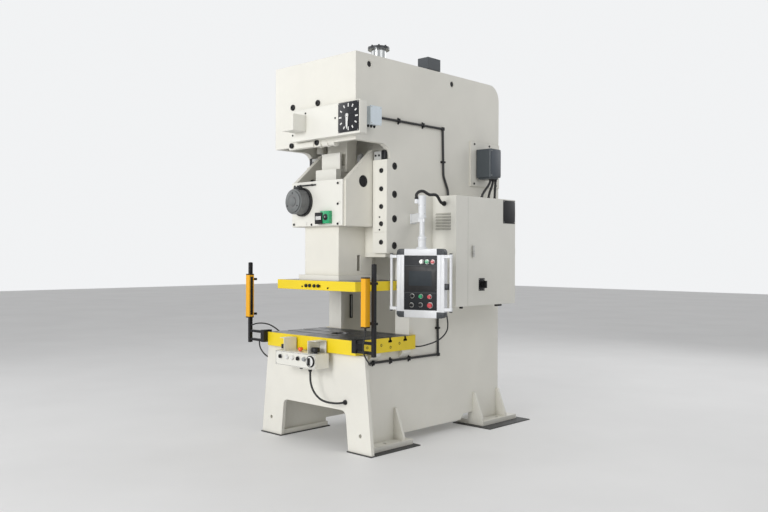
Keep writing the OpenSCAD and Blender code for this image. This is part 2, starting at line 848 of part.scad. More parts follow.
// a lead that drops straight from its gland and enters the cabinet's top upright
function lead(y) = let (high = cabinet_top + 191, from = [650, y[0]], to = [640, y[1]]) concat(
    [[from[0], from[1], high], [from[0], from[1], high - 8]],
    [for (k = [1 : 5]) let (s = k / 6, ease = s * s * (3 - 2 * s), p = from + ease * (to - from))
        [p[0], p[1], high - 8 + (cabinet_top + 16 - high) * s]],
    [[to[0], to[1], cabinet_top + 8], [to[0], to[1], cabinet_top]]);

module conduits() {
    r = 10;
    x = side_x + r + slip;
    high = frame_h - 501;
    color(dark) {
        hose(rounded([[x, junction_back, high], [x, 20, high], [x, 31, cabinet_top + 190],
            [x + 4, 92, cabinet_top + 60],
                      [x + 4, 92, cabinet_top]], 26), r);
        hose(rounded([[x + 9, -48, cabinet_base], [x + 9, -48, cabinet_base - 50],
            [x, -40, cabinet_base - 136],
                      [x, -34, run_z], [x, apron_back + 130, run_z]], 30), r);
        for (y = [[rear_y - 331, 425], [rear_y - 291, 530], [rear_y - 254, 625]]) hose(lead(y), 11);
    }
}

module terminal_box() {
    y = rear_y - 294;
    low = cabinet_top + 191;
    color(cream) block([side_x, side_x + 12], [rear_y - 452, rear_y - 5], [low - 64, low + 350]);
    color(slate) union() {
        along_z([low + 15, low + 275]) translate([side_x + 97, y]) rounded_square([170, 162], 14);
        along_z([low, low + 15]) translate([side_x + 97, y]) rounded_square([140, 128], 10);
    }
}

module cabinet() {
    lid = cabinet_x - door_t;
    color(cream) difference() {
        union() {
            block([side_x, lid], [cabinet_y, cabinet_rear], [cabinet_base, cabinet_top]);
            block([lid, cabinet_x], [cabinet_y, seam_y - 2], [cabinet_base, cabinet_top]);
        }
        block([side_x + sheet_t, lid + 1], [cabinet_y + sheet_t, cabinet_rear - sheet_t],
              [cabinet_base + sheet_t, cabinet_top - sheet_t]);
        block([lid, cabinet_x - sheet_t], [cabinet_y + sheet_t, seam_y - 2 - sheet_t],
              [cabinet_base + sheet_t, cabinet_top - sheet_t]);
        for (i = [0 : 5]) block([side_x + 43.5, cabinet_x - 61], [cabinet_y - 1, cabinet_y + sheet_t + 1],
                                [cabinet_base + 664 + 26 * i, cabinet_base + 672 + 26 * i]);
    }
    color(bright) for (z = hinge_levels()) {
        block([lid - 44, lid], [cabinet_rear, cabinet_rear + 3], [z - 30, z - slip]);
        block([lid - 1, hinge_x], [cabinet_rear + slip, cabinet_rear + 3], [z - 30, z - slip]);
        bar_z(hinge_x, hinge_y, [z - 30, z - slip], hinge_r);
    }
}

function hinge_levels() = [cabinet_base + 120, cabinet_base + cabinet_h / 2, cabinet_top - 120];

module control_gear() {
    x = side_x + sheet_t;
    color(steel) block([x, x + 4], [cabinet_y + 130, cabinet_rear - 60],
        [cabinet_base + 80, cabinet_top - 80]);
    y = cabinet_y + 225;
    z = cabinet_base;
    color(slate) {
        block([x + 4, x + 160], [y, y + 210], [z + 584, z + 844]);
        for (i = [0 : 4]) block([x + 4, x + 96], [y + 270 + 62 * i, y + 324 + 62 * i], [z + 644, z + 744]);
        for (i = [0 : 6]) block([x + 4, x + 70], [y + 78 * i, y + 70 + 78 * i], [z + 364, z + 474]);
        block([x + 4, x + 46], [y - 10, y + 570], [z + 164, z + 204]);
    }
}

module cabinet_door() {
    lid = cabinet_x - door_t + slip;
    color(cream) difference() {
        block([lid, cabinet_x], [seam_y, cabinet_rear], [cabinet_base, cabinet_top]);
        block([lid - 1, cabinet_x - sheet_t], [seam_y + sheet_t, cabinet_rear - sheet_t],
              [cabinet_base + sheet_t, cabinet_top - sheet_t]);
        bar_x([lid, cabinet_x + 1], seam_y + 60, handle_z, 8 + fit);
        bar_x([lid, cabinet_x + 1], seam_y + 208, switch_z, 10 + fit);
    }
    color(bright) for (z = hinge_levels()) {
        block([hinge_x - 4, hinge_x + 6], [cabinet_rear, hinge_y], [z, z + 30]);
        bar_z(hinge_x, hinge_y, [z, z + 30], hinge_r);
    }
}

module door_handle() {
    y = seam_y + 60;
    color(drum_grey) union() {
        bar_x([cabinet_x - 14, cabinet_x + 16], y, handle_z, 8);
        block([cabinet_x + 8, cabinet_x + 20], [y - 9, y + 9], [handle_z - 50, handle_z + 52]);
        block([cabinet_x - 14, cabinet_x - 10], [y - 30, y + 30], [handle_z - 12, handle_z + 12]);
    }
}

module main_switch() {
    y = seam_y + 208;
    color(dark) union() {
        bar_x([cabinet_x - 20, cabinet_x + 10], y, switch_z, 10);
        bar_x([cabinet_x + slip, cabinet_x + 22], y, switch_z, 30);
        block([cabinet_x + 22, cabinet_x + 46], [y - 9, y + 9], [switch_z - 32, switch_z + 32]);
    }
}

module pendant_arm() {
    base = pendant_z + 250;
    color(bright) difference() {
        union() {
            bar_z(pipe_x, pipe_y, [base, base + 185], pipe_r + 10);
            block([side_x, side_x + 12], [-400, -330], [base - 34, base + 50]);
            along_z([base - 30, base + 44]) polygon([[side_x + 10, -350], [side_x + 10, -395],
                [pipe_x - 22, pipe_y - 22], [pipe_x + 30, pipe_y - 8], [pipe_x + 8, pipe_y + 30]]);
            bar_z(726, -574, [base + 120, base + 155], arm_hose_r + 3);
            along_z([base + 122, base + 150]) polygon([[718, -566], [734, -582], [750, -560], [740, -550]]);
        }
        bar_z(pipe_x, pipe_y, [base - 31, base + 165], pipe_r + fit);
    }
}

module turn_pendant() {
    translate([pipe_x, pipe_y, 0]) rotate([0, 0, pendant_turn]) children();
}

// spots on the pendant's face, measured from its centre line and top edge
function pendant_spot(x, down) = [x, pendant_z - down];
spot_reset = pendant_spot(12, 105);
spot_go = pendant_spot(60, 105);
spot_halt = pendant_spot(110, 105);
spot_selector = pendant_spot(-70, 384);
spot_start = pendant_spot(7, 386);
spot_stop = pendant_spot(84, 388);
spot_low_left = pendant_spot(-75, 458);
spot_low_mid = pendant_spot(4, 455);
spot_estop = pendant_spot(88, 457);

function pendant_moving() = [spot_reset, spot_selector, spot_start, spot_stop, spot_estop];

module pendant_box() {
    half = pendant_w / 2;
    depth = pendant_d / 2;
    low = pendant_z - pendant_h;
    color(bright) turn_pendant() {
        difference() {
            union() {
                along_y([-depth, depth]) translate([0, (low + pendant_z) / 2])
                    rounded_square([pendant_w, pendant_h], 30);
                bar_z(0, 0, [pendant_z, pendant_z + 100], pipe_r + 11);
                bar_z(0, 0, [pendant_z + 100, pendant_z + 410], pipe_r);
            }
            block([-half + 58, half - 58], [-depth - 1, -depth + 4], [low + 62, pendant_z - 53]);
            for (s = pendant_moving()) bar_y(s[0], [-depth - 1, -depth + 34], s[1], 11 + fit);
        }
        both_sides() {
            block([half, half + 45], [-depth - 6, -depth + 22], [low + 60, low + 84]);
            block([half, half + 45], [-depth - 6, -depth + 22], [pendant_z - 74, pendant_z - 50]);
            bar_z(half + 52, -depth + 8, [low + 54, pendant_z - 44], 11);
        }
    }
    color(dark) turn_pendant() difference() {
        union() {
            block([-half + 58, half - 58], [-depth, -depth + 4], [low + 62, pendant_z - 53]);
            block([-135, 138], [-depth - 3, -depth], [pendant_z - 342, pendant_z - 142]);
            for (s = [spot_go, spot_halt, spot_low_left, spot_low_mid])
                bar_y(s[0], [-depth - 14, -depth], s[1], button_r);
        }
        for (s = pendant_moving()) bar_y(s[0], [-depth - 20, -depth + 5], s[1], 11 + fit);
    }
}

module push_button(spot, r) {
    face = -pendant_d / 2;
    turn_pendant() union() {
        bar_y(spot[0], [face - 12, face + 28], spot[1], 11);
        bar_y(spot[0], [face - 20, face - 6], spot[1], r);
    }
}

module pendant_start() {
    color(green) push_button(spot_start, button_r);
}

module pendant_stop() {
    color(red) push_button(spot_stop, button_r);
}

module pendant_reset() {
    color("white") push_button(spot_reset, button_r);
}

module pendant_estop() {
    color(red) push_button(spot_estop, button_r + 5);
}

module pendant_selector() {
    face = -pendant_d / 2;
    color(dark) turn_pendant() union() {
        bar_y(spot_selector[0], [face - 8, face + 28], spot_selector[1], 11);
        bar_y(spot_selector[0], [face - 12, face - slip], spot_selector[1], button_r);
        block([spot_selector[0] - 4, spot_selector[0] + 4], [face - 24, face - 12],
              [spot_selector[1] - 14, spot_selector[1] + 14]);
    }
}

// each hood stands behind its palm button, open to the front and to the outer side
module palm_hood() {
    front = station_y + 6;
    back = station_y + station_d - 4;
    top = station_top + 104;
    block([palm_x - 42, palm_x - 38], [front, back], [station_top, top]);
    block([palm_x - 42, palm_x + 36], [back - 4, back], [station_top, top]);
    block([palm_x - 42, palm_x + 36], [front + 20, back], [top - 4, top]);
}

palm_x = 190;
rotary_x = 196;
small_xs = [-179, -97, -28, 44, 118];

module control_box() {
    half = station_w / 2;
    back = station_y + station_d;
    color(cream) {
        difference() {
            union() {
                block([-half, half], [station_y, back], [station_z, station_top]);
                for (x = [-170, 170]) block([x - 25, x + 25], [back, apron_y],
                    [station_z + 30, station_top - 24]);
                both_sides() palm_hood();
            }
            block([-half + 3, half - 3], [station_y + 3, back - 3], [station_z + 3, station_top - 3]);
            for (x = [-palm_x, palm_x]) bar_z(x, station_y + 56, [station_top - 4, station_top + 1],
                15 + fit);
            bar_z(-8, station_y + 66, [station_top - 4, station_top + 1], 11 + fit);
            bar_y(rotary_x, [station_y - 4, station_y + 4], station_z + 62, 11 + fit);
        }
    }
    color(dark) {
        for (x = small_xs) bar_y(x, [station_y - 14, station_y], station_z + 74, 16);
        bar_z(104, station_y + 75, [station_z - 20, station_z], 14);
        bar_z(-6, station_y + 75, [station_z - 16, station_z], 12);
        bar_z(-6, station_y + 75, [station_z - 42, station_z - 10], 6);
    }
}

module palm_button(x) {
    color(dark) union() {
        bar_z(x, station_y + 56, [station_top - 26, station_top + 30], 15);
        bar_z(x, station_y + 56, [station_top + 14, station_top + 48], 34);
    }
}

module palm_button_left() {
    palm_button(-palm_x);
}

module palm_button_right() {
    palm_button(palm_x);
}

module control_estop() {
    color(orange) union() {
        bar_z(-8, station_y + 66, [station_top - 24, station_top + 30], 11);
        bar_z(-8, station_y + 66, [station_top + 12, station_top + 34], 20);
    }
}

module control_rotary() {
    z = station_z + 62;
    color(drum_grey) union() {
        bar_y(rotary_x, [station_y - 12, station_y + 26], z, 11);
        bar_y(rotary_x, [station_y - 14, station_y - slip], z, 40);
        block([rotary_x - 7, rotary_x + 7], [station_y - 34, station_y - 14], [z - 30, z + 30]);
    }
}

module light_posts() {
    half = bolster_w / 2;
    front = throat_y - 3 - bolster_d;
    color(dark) both_sides() union() {
        block([tube_x - tube_half, tube_x + tube_half], [tube_y - tube_half, tube_y + tube_half],
              [tube_z, tube_z + tube_h]);
        block([half, half + 46], [front - 46, front + 44], [tube_z + 16, tube_z + 122]);
        for (z = [tube_z + 18, tube_z + 92]) block([half + 40, tube_x], [tube_y - 11, tube_y + 11],
            [z, z + 22]);
        for (z = [curtain_z + 22, curtain_z + 330])
            block([curtain_x - 18, tube_x + tube_half + 8],
                  [curtain_y + curtain_w / 2, tube_y + tube_half + 8], [z, z + 20]);
    }
}

module light_curtains() {
    side = curtain_w / 2;
    color(yellow) both_sides() difference() {
        block([curtain_x - side, curtain_x + side], [curtain_y - side, curtain_y + side],
              [curtain_z, curtain_z + curtain_h]);
        block([curtain_x - side - 1, curtain_x - side + 4], [curtain_y - 14, curtain_y + 14],
              [curtain_z + 24, curtain_z + curtain_h - 24]);
    }
}

module control_hose() {
    color(dark) hose(control_hose_route, control_hose_r);
}

module cables() {
    color(dark) for (route = [hanging_route, post_route, curtain_route, loop_route]) hose(route, cable_r);
}

module arm_hose() {
    color(dark) hose(arm_hose_route, arm_hose_r);
}

// the slide's cheek, seen from the side: upright front, sloped shoulder and a full rear edge
module cheek_outline() {
    front = slide_front + cover_t;
    polygon([[front, cheek_z], [front, cheek_z + 375], [-717, cheek_top - 29], [-688, cheek_top],
             [slide_rear, cheek_top], [slide_rear, cheek_z]]);
}

module slide_body() {
    front = slide_front + cover_t;
    column_front = front + 39;
    rear = slide_rear;
    color(cream) difference() {
        union() {
            both_sides() along_x([slide_half - cheek_t, slide_half]) cheek_outline();
            block([-slide_half, slide_half], [rear - 40, rear], [cheek_z, cheek_z + 375]);
            block([-slide_half, slide_half], [front, rear], [cheek_z, cheek_z + 45]);
            block([-column_half, column_half], [column_front, rear], [column_z + 45, cheek_z + 1]);
            block([-column_half - 40, column_half + 40], [column_front - 37, rear + 30],
                [column_z, column_z + 45]);
            both_sides() block([slide_half, inner_x - 3], [gib_back + slip, rear], [guide_z, guide_top]);
            both_sides() block([column_half, slide_half], [gib_back + slip, rear], [guide_z, cheek_z]);
        }
        bar_z(0, die_y, [ball_z - 100, cheek_z + 46], 120 + fit);
        bar_z(0, die_y, [column_z - 1, column_z - face_t + shank_depth], shank_r);
        block([-column_half - 1, column_half + 1], [die_y - 17, die_y + 17],
            [column_z + 80, column_z + 212]);
        both_sides() bar_x([slide_half - cheek_t - 1, slide_half + 1], -797, cheek_z + 376, 50);
    }
}

module slide_cover() {
    color(cream) difference() {
        block([-slide_half + 20, slide_half - 20], [slide_front, slide_front + cover_t],
            [cheek_z + 5, cheek_z + 381]);
        for (x = [-280, 280], z = [25, 190, 350]) bar_y(x, [slide_front - 1, slide_front + 8],
            cheek_z + z, 11);
        for (x = [-120, 60]) bar_y(x, [slide_front - 1, slide_front + 8], cheek_z + 25, 11);
    }
    color(dark) {
        for (x = [-280, 280], z = [25, 190, 350]) bar_y(x, [slide_front + 1, slide_front + 8],
            cheek_z + z, 9);
        for (x = [-120, 60]) bar_y(x, [slide_front + 1, slide_front + 8], cheek_z + 25, 9);
    }
}

module face_plate() {
    half = face_w / 2;
    front = die_y - face_d / 2;
    color(yellow) difference() {
        block([-half, half], [front, front + face_d], [face_z, column_z]);
        bar_z(0, die_y, [face_z - 1, column_z + 1], shank_r);
        for (y = [die_y - 190, die_y + 190]) mirror([0, 0, 1]) t_slot(y, -face_z, [-half - 1, half + 1]);
        for (x = [-112, -76, 29, 65]) bar_y(x, [front - 1, front + 30], face_z + 34, 11);
        for (x = [-158, 169]) bar_y(x, [front - 1, front + 20], face_z + 24, 6);
    }
}

// folded guard ahead of the connecting rod's foot
module screw_guard() {
    step_z = cheek_z + 485;
    color(cream) union() {
        block([-127, 127], [die_y - 187, die_y - 170], [cheek_z + 45, step_z]);
        both_sides() block([110, 127], [die_y - 170, die_y - 130], [cheek_z + 45, step_z]);
        block([-127, 127], [die_y - 170, die_y - 113], [step_z - 12, step_z]);
        block([-113, 113], [die_y - 130, die_y - 113], [step_z, cheek_top - 20]);
    }
}

module ball_seat() {
    color(bronze) {
        difference() {
            bar_z(0, die_y, [ball_z - 100, ball_z], 120);
            translate([0, die_y, ball_z]) sphere(r = ball_r + slip);
        }
        difference() {
            bar_z(0, die_y, [ball_z, ball_z + 56], 120);
            translate([0, die_y, ball_z]) sphere(r = ball_r + slip);
            bar_z(0, die_y, [ball_z + 30, ball_z + 57], 60);
        }
    }
}

module ball_screw() {
    color(steel) union() {
        translate([0, die_y, ball_z]) sphere(r = ball_r);
        bar_z(0, die_y, [ball_z + 40, ball_z + 92], 40);
        bar_z(0, die_y, [ball_z + 92, rod_foot + 200], screw_r);
    }
}

module connecting_rod() {
    color(cream) difference() {
        union() {
            along_y([die_y - rod_w / 2, die_y + rod_w / 2]) intersection() {
                union() {
                    translate([0, pin_z]) circle(r = big_end_r, $fn = 96);
                    polygon([[-rod_r, rod_shoulder - 60], [rod_r, rod_shoulder - 60],
                        [big_end_r - 24, pin_z - 80],
                             [big_end_r + 25, pin_z - 62], [big_end_r + 25, pin_z],
                                 [-big_end_r - 25, pin_z],
                             [-big_end_r - 25, pin_z - 62], [24 - big_end_r, pin_z - 80]]);
                }
                translate([-300, rod_foot]) square([600, pin_z - rod_foot]);
            }
            bar_z(0, die_y, [rod_foot, rod_shoulder], rod_r);
        }
        bar_z(0, die_y, [rod_foot - 1, rod_shoulder - 5], screw_r + fit);
        bar_y(0, [die_y - 100, die_y + 100], pin_z, pin_r + fit);
    }
}

module rod_cap() {
    color(cream) difference() {
        along_y([die_y - rod_w / 2, die_y + rod_w / 2]) intersection() {
            union() {
                translate([0, pin_z]) circle(r = big_end_r, $fn = 96);
                translate([-big_end_r - 25, pin_z]) square([2 * big_end_r + 50, 62]);
            }
            translate([-300, pin_z]) square([600, 300]);
        }
        bar_y(0, [die_y - 100, die_y + 100], pin_z, pin_r + fit);
    }
    color(dark) for (x = [-big_end_r - 2, big_end_r + 2], y = [die_y - 26, die_y + 26])
        translate([x, y, pin_z + 62]) cylinder(r = 18, h = 20, $fn = 6);
}

module crank_pin() {
    color(steel) bar_y(0, [die_y - pin_half, die_y + pin_half], pin_z, pin_r);
}

module crank_web(y) {
    along_y(y) union() {
        translate([0, crank_z]) circle(r = pin_r + 35);
        translate([0, pin_z]) circle(r = pin_r + 25);
        polygon([[-pin_r - 34, crank_z], [pin_r + 34, crank_z], [pin_r + 24, pin_z], [-pin_r - 24, pin_z]]);
    }
}

module crankshaft() {
    front_web = die_y - web_in - web_t;
    rear_web = die_y + web_in + web_t;
    color(steel) {
        union() {
            bar_y(0, [sprocket_y - 8, plate_front + 1], crank_z, 28);
            bar_y(0, [sprocket_y, sprocket_y + 10], crank_z, sprocket_r);
            bar_y(0, [plate_front + slip, front_web], crank_z, journal_r);
            crank_web([front_web, die_y - web_in]);
        }
        union() {
            crank_web([die_y + web_in, rear_web]);
            bar_y(0, [rear_web, gear_y + gear_w + 20], crank_z, journal_r);
        }
    }
}

module main_gear() {
    color(steel) difference() {
        union() {
            along_y([gear_y, gear_y + gear_w]) translate([0, crank_z]) rotate([0, 0, -90])
                polygon(gear_points(gear_teeth, gear_module, 0.35));
        }
        bar_y(0, [gear_y - 1, gear_y + gear_w + 1], crank_z, journal_r + fit);
        for (s = [[gear_y - 1, gear_y + 30], [gear_y + gear_w - 30, gear_y + gear_w + 1]]) difference() {
            bar_y(0, s, crank_z, gear_r - 40);
            bar_y(0, s, crank_z, journal_r + 40);
        }
    }
}

module pinion_shaft() {
    back = wheel_y + wheel_w;
    color(steel) union() {
        bar_y(0, [wall_front, back + 70], pinion_z, shaft_r);
        along_y([gear_y - 4, gear_y + gear_w + 4]) translate([0, pinion_z]) rotate([0, 0,
            90 + 180 / pinion_teeth])
            polygon(gear_points(pinion_teeth, gear_module, 1.4));
        bar_y(0, [back + 8, back + 58], pinion_z, 150);
    }
}

module flywheel() {
    back = wheel_y + wheel_w;
    color(steel) difference() {
        bar_y(0, [wheel_y, back], pinion_z, wheel_r);
        bar_y(0, [wheel_y - 1, back + 1], pinion_z, shaft_r + fit);
        for (s = [[wheel_y - 1, wheel_y + 45], [back - 45, back + 1]]) difference() {
            bar_y(0, s, pinion_z, wheel_r - 55);
            bar_y(0, s, pinion_z, shaft_r + 45);
        }
    }
}

module motor_pulley() {
    color(steel) union() {
        bar_y(0, [wheel_y, wheel_y + wheel_w], motor_z, pulley_r);
        bar_y(0, [motor_y + motor_len - 38, wheel_y + wheel_w + 20], motor_z, 24);
    }
}

module adjusting_motor() {
    x = -170;
    z = cheek_z + 211;
    color(drum_grey) union() {
        bar_y(x, [slide_front - 20, slide_front], z, 122);
        bar_y(x, [slide_front - 108, slide_front - 20], z, 106);
        bar_y(x, [slide_front - 120, slide_front - 108], z, 90);
        bar_y(x, [slide_front - 125, slide_front - 120], z, 40);
    }
}

module height_counter() {
    z = cheek_z + 23;
    color(dark) block([24, 84], [slide_front - 40, slide_front], [z, z + 90]);
    color(green) block([84, 140], [slide_front - 34, slide_front], [z, z + 102]);
}

side_plate_left();
side_plate_right();
frame_plates();
rear_cover();
apron();
feet();
foot_pads();
gibs();
frame_bolts();
bolster();
crank_bushes();
motor();
drive_belts();
brake_housing();
balance_cylinders();
silencer();
dial_box();
head_junction_box();
conduits();
terminal_box();
cabinet();
control_gear();
pendant_arm();
arm_hose();
control_box();
control_hose();
light_posts();
light_curtains();
cables();
slide_body();
slide_cover();
face_plate();
screw_guard();
ball_seat();
adjusting_motor();
height_counter();
balance_rods();
ball_screw();
connecting_rod();
rod_cap();
crank_pin();
crankshaft();
main_gear();
pinion_shaft();
flywheel();
motor_pulley();
dial_pointer();
cabinet_door();
door_handle();
main_switch();
pendant_box();
palm_button_left();
palm_button_right();
control_estop();
control_rotary();
pendant_start();
pendant_stop();
pendant_estop();
pendant_selector();
pendant_reset();
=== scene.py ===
import math
from itertools import product
import bmesh
import bpy
from mathutils import Matrix, Vector


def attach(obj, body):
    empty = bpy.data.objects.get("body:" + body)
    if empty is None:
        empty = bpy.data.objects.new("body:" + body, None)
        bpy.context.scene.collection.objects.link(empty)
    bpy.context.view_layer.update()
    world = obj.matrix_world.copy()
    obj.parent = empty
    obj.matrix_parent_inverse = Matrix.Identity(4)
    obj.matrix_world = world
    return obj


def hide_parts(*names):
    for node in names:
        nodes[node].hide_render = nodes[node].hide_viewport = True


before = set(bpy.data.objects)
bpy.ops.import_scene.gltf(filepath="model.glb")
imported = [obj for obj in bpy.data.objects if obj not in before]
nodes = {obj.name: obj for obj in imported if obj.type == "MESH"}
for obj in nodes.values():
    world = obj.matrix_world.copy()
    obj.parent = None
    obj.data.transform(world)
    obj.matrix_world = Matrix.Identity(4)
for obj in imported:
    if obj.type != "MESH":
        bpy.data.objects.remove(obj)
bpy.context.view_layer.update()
print("frame loaded:", len(nodes), "nodes")

view = {"spot": (5.0851, -5.5313, 1.5775), "azimuth": 43.61, "pitch": -0.06, "roll": 0.22, "lens": 37.88}


def makeCamera():
    data = bpy.data.cameras.new("viewCamera")
    data.lens, data.sensor_width, data.clip_end = view["lens"], 36, 60
    camera = bpy.data.objects.new("viewCamera", data)
    bpy.context.scene.collection.objects.link(camera)
    turn = (Matrix.Rotation(math.radians(view["azimuth"]), 4, "Z")
            @ Matrix.Rotation(math.radians(90 + view["pitch"]), 4, "X")
            @ Matrix.Rotation(math.radians(view["roll"]), 4, "Z"))
    camera.matrix_world = Matrix.Translation(view["spot"]) @ turn
    bpy.context.scene.camera = camera


makeCamera()
print("camera set")


# shader maths: a socket that adds, multiplies and compares by making Math nodes
class Wire:
    def __init__(self, finish, socket):
        self.finish, self.socket = finish, socket

    def maths(self, kind, other, swap=False):
        pair = (other, self) if swap else (self, other)
        return self.finish.add("ShaderNodeMath", {"operation": kind}, {0: pair[0], 1: pair[1]})

    def __add__(self, other):
        return self.maths("ADD", other)

    def __sub__(self, other):
        return self.maths("SUBTRACT", other)

    def __rsub__(self, other):
        return self.maths("SUBTRACT", other, True)

    def __mul__(self, other):
        return self.maths("MULTIPLY", other)

    def __gt__(self, other):
        return self.maths("GREATER_THAN", other)

    def __lt__(self, other):
        return self.maths("LESS_THAN", other)

    def __abs__(self):
        return self.maths("ABSOLUTE", 0)

    __radd__, __rmul__ = __add__, __mul__


# a material under construction
class Finish:
    def __init__(self, name):
        self.material = bpy.data.materials.new(name)
        self.material.use_nodes = True
        self.tree = self.material.node_tree
        self.tree.nodes.clear()
        self.place = self.add("ShaderNodeTexCoord", out="Object")

    def add(self, kind, settings=None, sockets=None, out=0):
        node = self.tree.nodes.new(kind)
        for key, value in (settings or {}).items():
            if key == "stops":                       # a colour ramp's stops: (position, grey or colour)
                ramp = node.color_ramp
                while len(ramp.elements) < len(value):
                    ramp.elements.new(0.5)
                for stop, (position, shade) in zip(ramp.elements, value):
                    stop.position = position
                    stop.color = (shade, shade, shade, 1) if isinstance(shade, (int, float)) else (*shade, 1)
            else:
                setattr(node, key, value)
        for key, value in (sockets or {}).items():
            if isinstance(value, Wire):
                self.tree.links.new(value.socket, node.inputs[key])
            else:
                wanted = node.inputs[key]
                if wanted.type == "RGBA" and len(value) == 3:
                    value = (*value, 1)
                wanted.default_value = value
        return Wire(self, node.outputs[out])

    def noise(self, scale, detail=3, rough=0.55, place=None):
        return self.add("ShaderNodeTexNoise", None, {"Vector": place or self.place, "Scale": scale, "Detail": detail,
                                                     "Roughness": rough}, "Fac")

    def ramp(self, value, *stops):
        return self.add("ShaderNodeValToRGB", {"stops": stops}, {"Fac": value}, "Color")

    def step(self, value, low, high):                # 0 below low, 1 above high
        return self.add("ShaderNodeMapRange", {"interpolation_type": "SMOOTHSTEP"},
                        {"Value": value, "From Min": low, "From Max": high})

    def mix(self, factor, first, second):
        return self.add("ShaderNodeMix", {"data_type": "RGBA"}, {0: factor, 6: first, 7: second}, 2)

    def axes(self, vector):
        node = self.add("ShaderNodeSeparateXYZ", None, {0: vector})
        outs = node.socket.node.outputs
        return [Wire(self, outs[i]) for i in range(3)]

    def stretched(self, x, y, z):                    # coordinates stretched for brushed and milled marks
        return self.add("ShaderNodeMapping", None, {"Vector": self.place, "Scale": (x, y, z)})

    def rounded(self, radius):                       # catches light on edges that the mesh leaves sharp
        return self.add("ShaderNodeBevel", {"samples": 4}, {"Radius": radius})

    def corners(self, reach):                        # 1 in the open, towards 0 in a corner
        return self.add("ShaderNodeAmbientOcclusion", {"samples": 4}, {"Distance": reach}, "AO")

    def bump(self, height, strength, distance, normal=None):
        sockets = {"Height": height, "Strength": strength, "Distance": distance}
        if normal:
            sockets["Normal"] = normal
        return self.add("ShaderNodeBump", None, sockets)

    def surface(self, **sockets):
        named = {key.replace("_", " "): value for key, value in sockets.items()}
        return self.add("ShaderNodeBsdfPrincipled", None, named)

    def blend(self, factor, first, second):
        return self.add("ShaderNodeMixShader", None, {0: factor, 1: first, 2: second})

    def done(self, shader):
        output = self.tree.nodes.new("ShaderNodeOutputMaterial")
        self.tree.links.new(shader.socket, output.inputs["Surface"])
        return self.material


# sprayed paint on filled and sanded steel: slow waviness, fine orange peel, dust below, and painted shade in corners
def sprayedPaint(finish, colour, wave=1.0, dirt=1.0, edge=0.0025, shine=0.5):
    cloud = finish.noise(2.3, 4)
    peel = finish.noise(420, 2)
    filler = finish.noise(7, 3, 0.4)
    height = finish.axes(finish.place)[2]
    low = 1 - finish.step(height, 0.02, 0.42)
    splash = finish.step(finish.noise(34, 5, 0.7), 0.5, 0.8) * low * (0.12 * dirt)
    # ambient occlusion darkens the colour in corners: painted shade
    cornerShade = (1 - finish.step(finish.corners(0.05), 0.3, 0.95)) * (0.34 * dirt)
    shade = finish.mix(finish.step(cloud, 0.3, 0.7), [c * 0.965 for c in colour], [min(1, c * 1.015) for c in colour])
    shade = finish.mix(splash + cornerShade, shade, [colour[0] * 0.46, colour[1] * 0.45, colour[2] * 0.4])
    normal = finish.bump(peel * 0.25 + filler * 3.0, 0.25 * wave, 0.0006, finish.rounded(edge))
    rough = 0.34 + finish.step(cloud, 0.25, 0.75) * 0.08 + cornerShade * 0.5
    return finish.surface(Base_Color=shade, Roughness=rough, Normal=normal, Coat_Weight=0.24 * shine,
                          Coat_Roughness=0.2, Specular_IOR_Level=shine)


def paint(name, colour, **more):
    finish = Finish(name)
    return finish.done(sprayedPaint(finish, colour, **more))


# cut or ground steel: marks run one way, with oil stains and a few deeper scratches
def cutSteel(finish, colour, lay, rough=0.3, edge=0.0012):
    marks = finish.noise(1, 2, 0.6, finish.stretched(*lay))
    stain = finish.noise(9, 5, 0.6)
    scratch = finish.step(finish.noise(1, 1, 0.3, finish.stretched(lay[1] * 0.12, lay[0] * 0.12, lay[2])), 0.66, 0.72)
    shade = finish.mix(finish.step(stain, 0.35, 0.75), colour, [c * 0.62 for c in colour])
    shade = finish.mix(scratch * 0.5, shade, [min(1, c * 1.7) for c in colour])
    normal = finish.bump(marks, 0.22, 0.0004, finish.rounded(edge))
    return finish.surface(Base_Color=shade, Metallic=1.0, Normal=normal,
                          Roughness=rough + finish.step(stain, 0.3, 0.8) * 0.16 + marks * 0.06)


def steel(name, colour, lay, **more):
    finish = Finish(name)
    return finish.done(cutSteel(finish, colour, lay, **more))


def casting(name, colour, metal=0.0, rough=0.55):
    finish = Finish(name)
    grain = finish.noise(260, 4, 0.65)
    cloud = finish.noise(11, 4)
    # ambient occlusion darkens the colour in creases: painted shade
    cornerShade = 1 - finish.step(finish.corners(0.03), 0.3, 0.95)
    shade = finish.mix(finish.step(cloud, 0.3, 0.7), colour, [c * 0.78 for c in colour])
    shade = finish.mix(cornerShade * 0.5, shade, [c * 0.45 for c in colour])
    normal = finish.bump(grain, 0.35, 0.0006, finish.rounded(0.0018))
    return finish.done(finish.surface(Base_Color=shade, Metallic=metal, Roughness=rough + cloud * 0.1, Normal=normal))


def moulded(name, colour, rough=0.35, grain=0.15, coat=0.0, shine=0.5, cloud=1.18):
    finish = Finish(name)
    fine = finish.noise(900, 2)
    smear = finish.noise(38, 4)
    shade = finish.mix(finish.step(smear, 0.35, 0.75), colour, [min(1, c * cloud + 0.002) for c in colour])
    normal = finish.bump(fine, grain, 0.0002, finish.rounded(0.0007))
    return finish.done(finish.surface(Base_Color=shade, Roughness=rough + finish.step(smear, 0.3, 0.7) * 0.12,
                                      Normal=normal, Coat_Weight=coat, Specular_IOR_Level=shine))


def rubber(name, colour):
    finish = Finish(name)
    fine = finish.noise(650, 3)
    dust = finish.step(finish.noise(26, 5, 0.65), 0.4, 0.8)
    shade = finish.mix(dust * 0.5, colour, [c * 2.2 + 0.012 for c in colour])
    return finish.done(finish.surface(Base_Color=shade, Roughness=0.55 + dust * 0.2,
                                      Normal=finish.bump(fine, 0.25, 0.0003)))


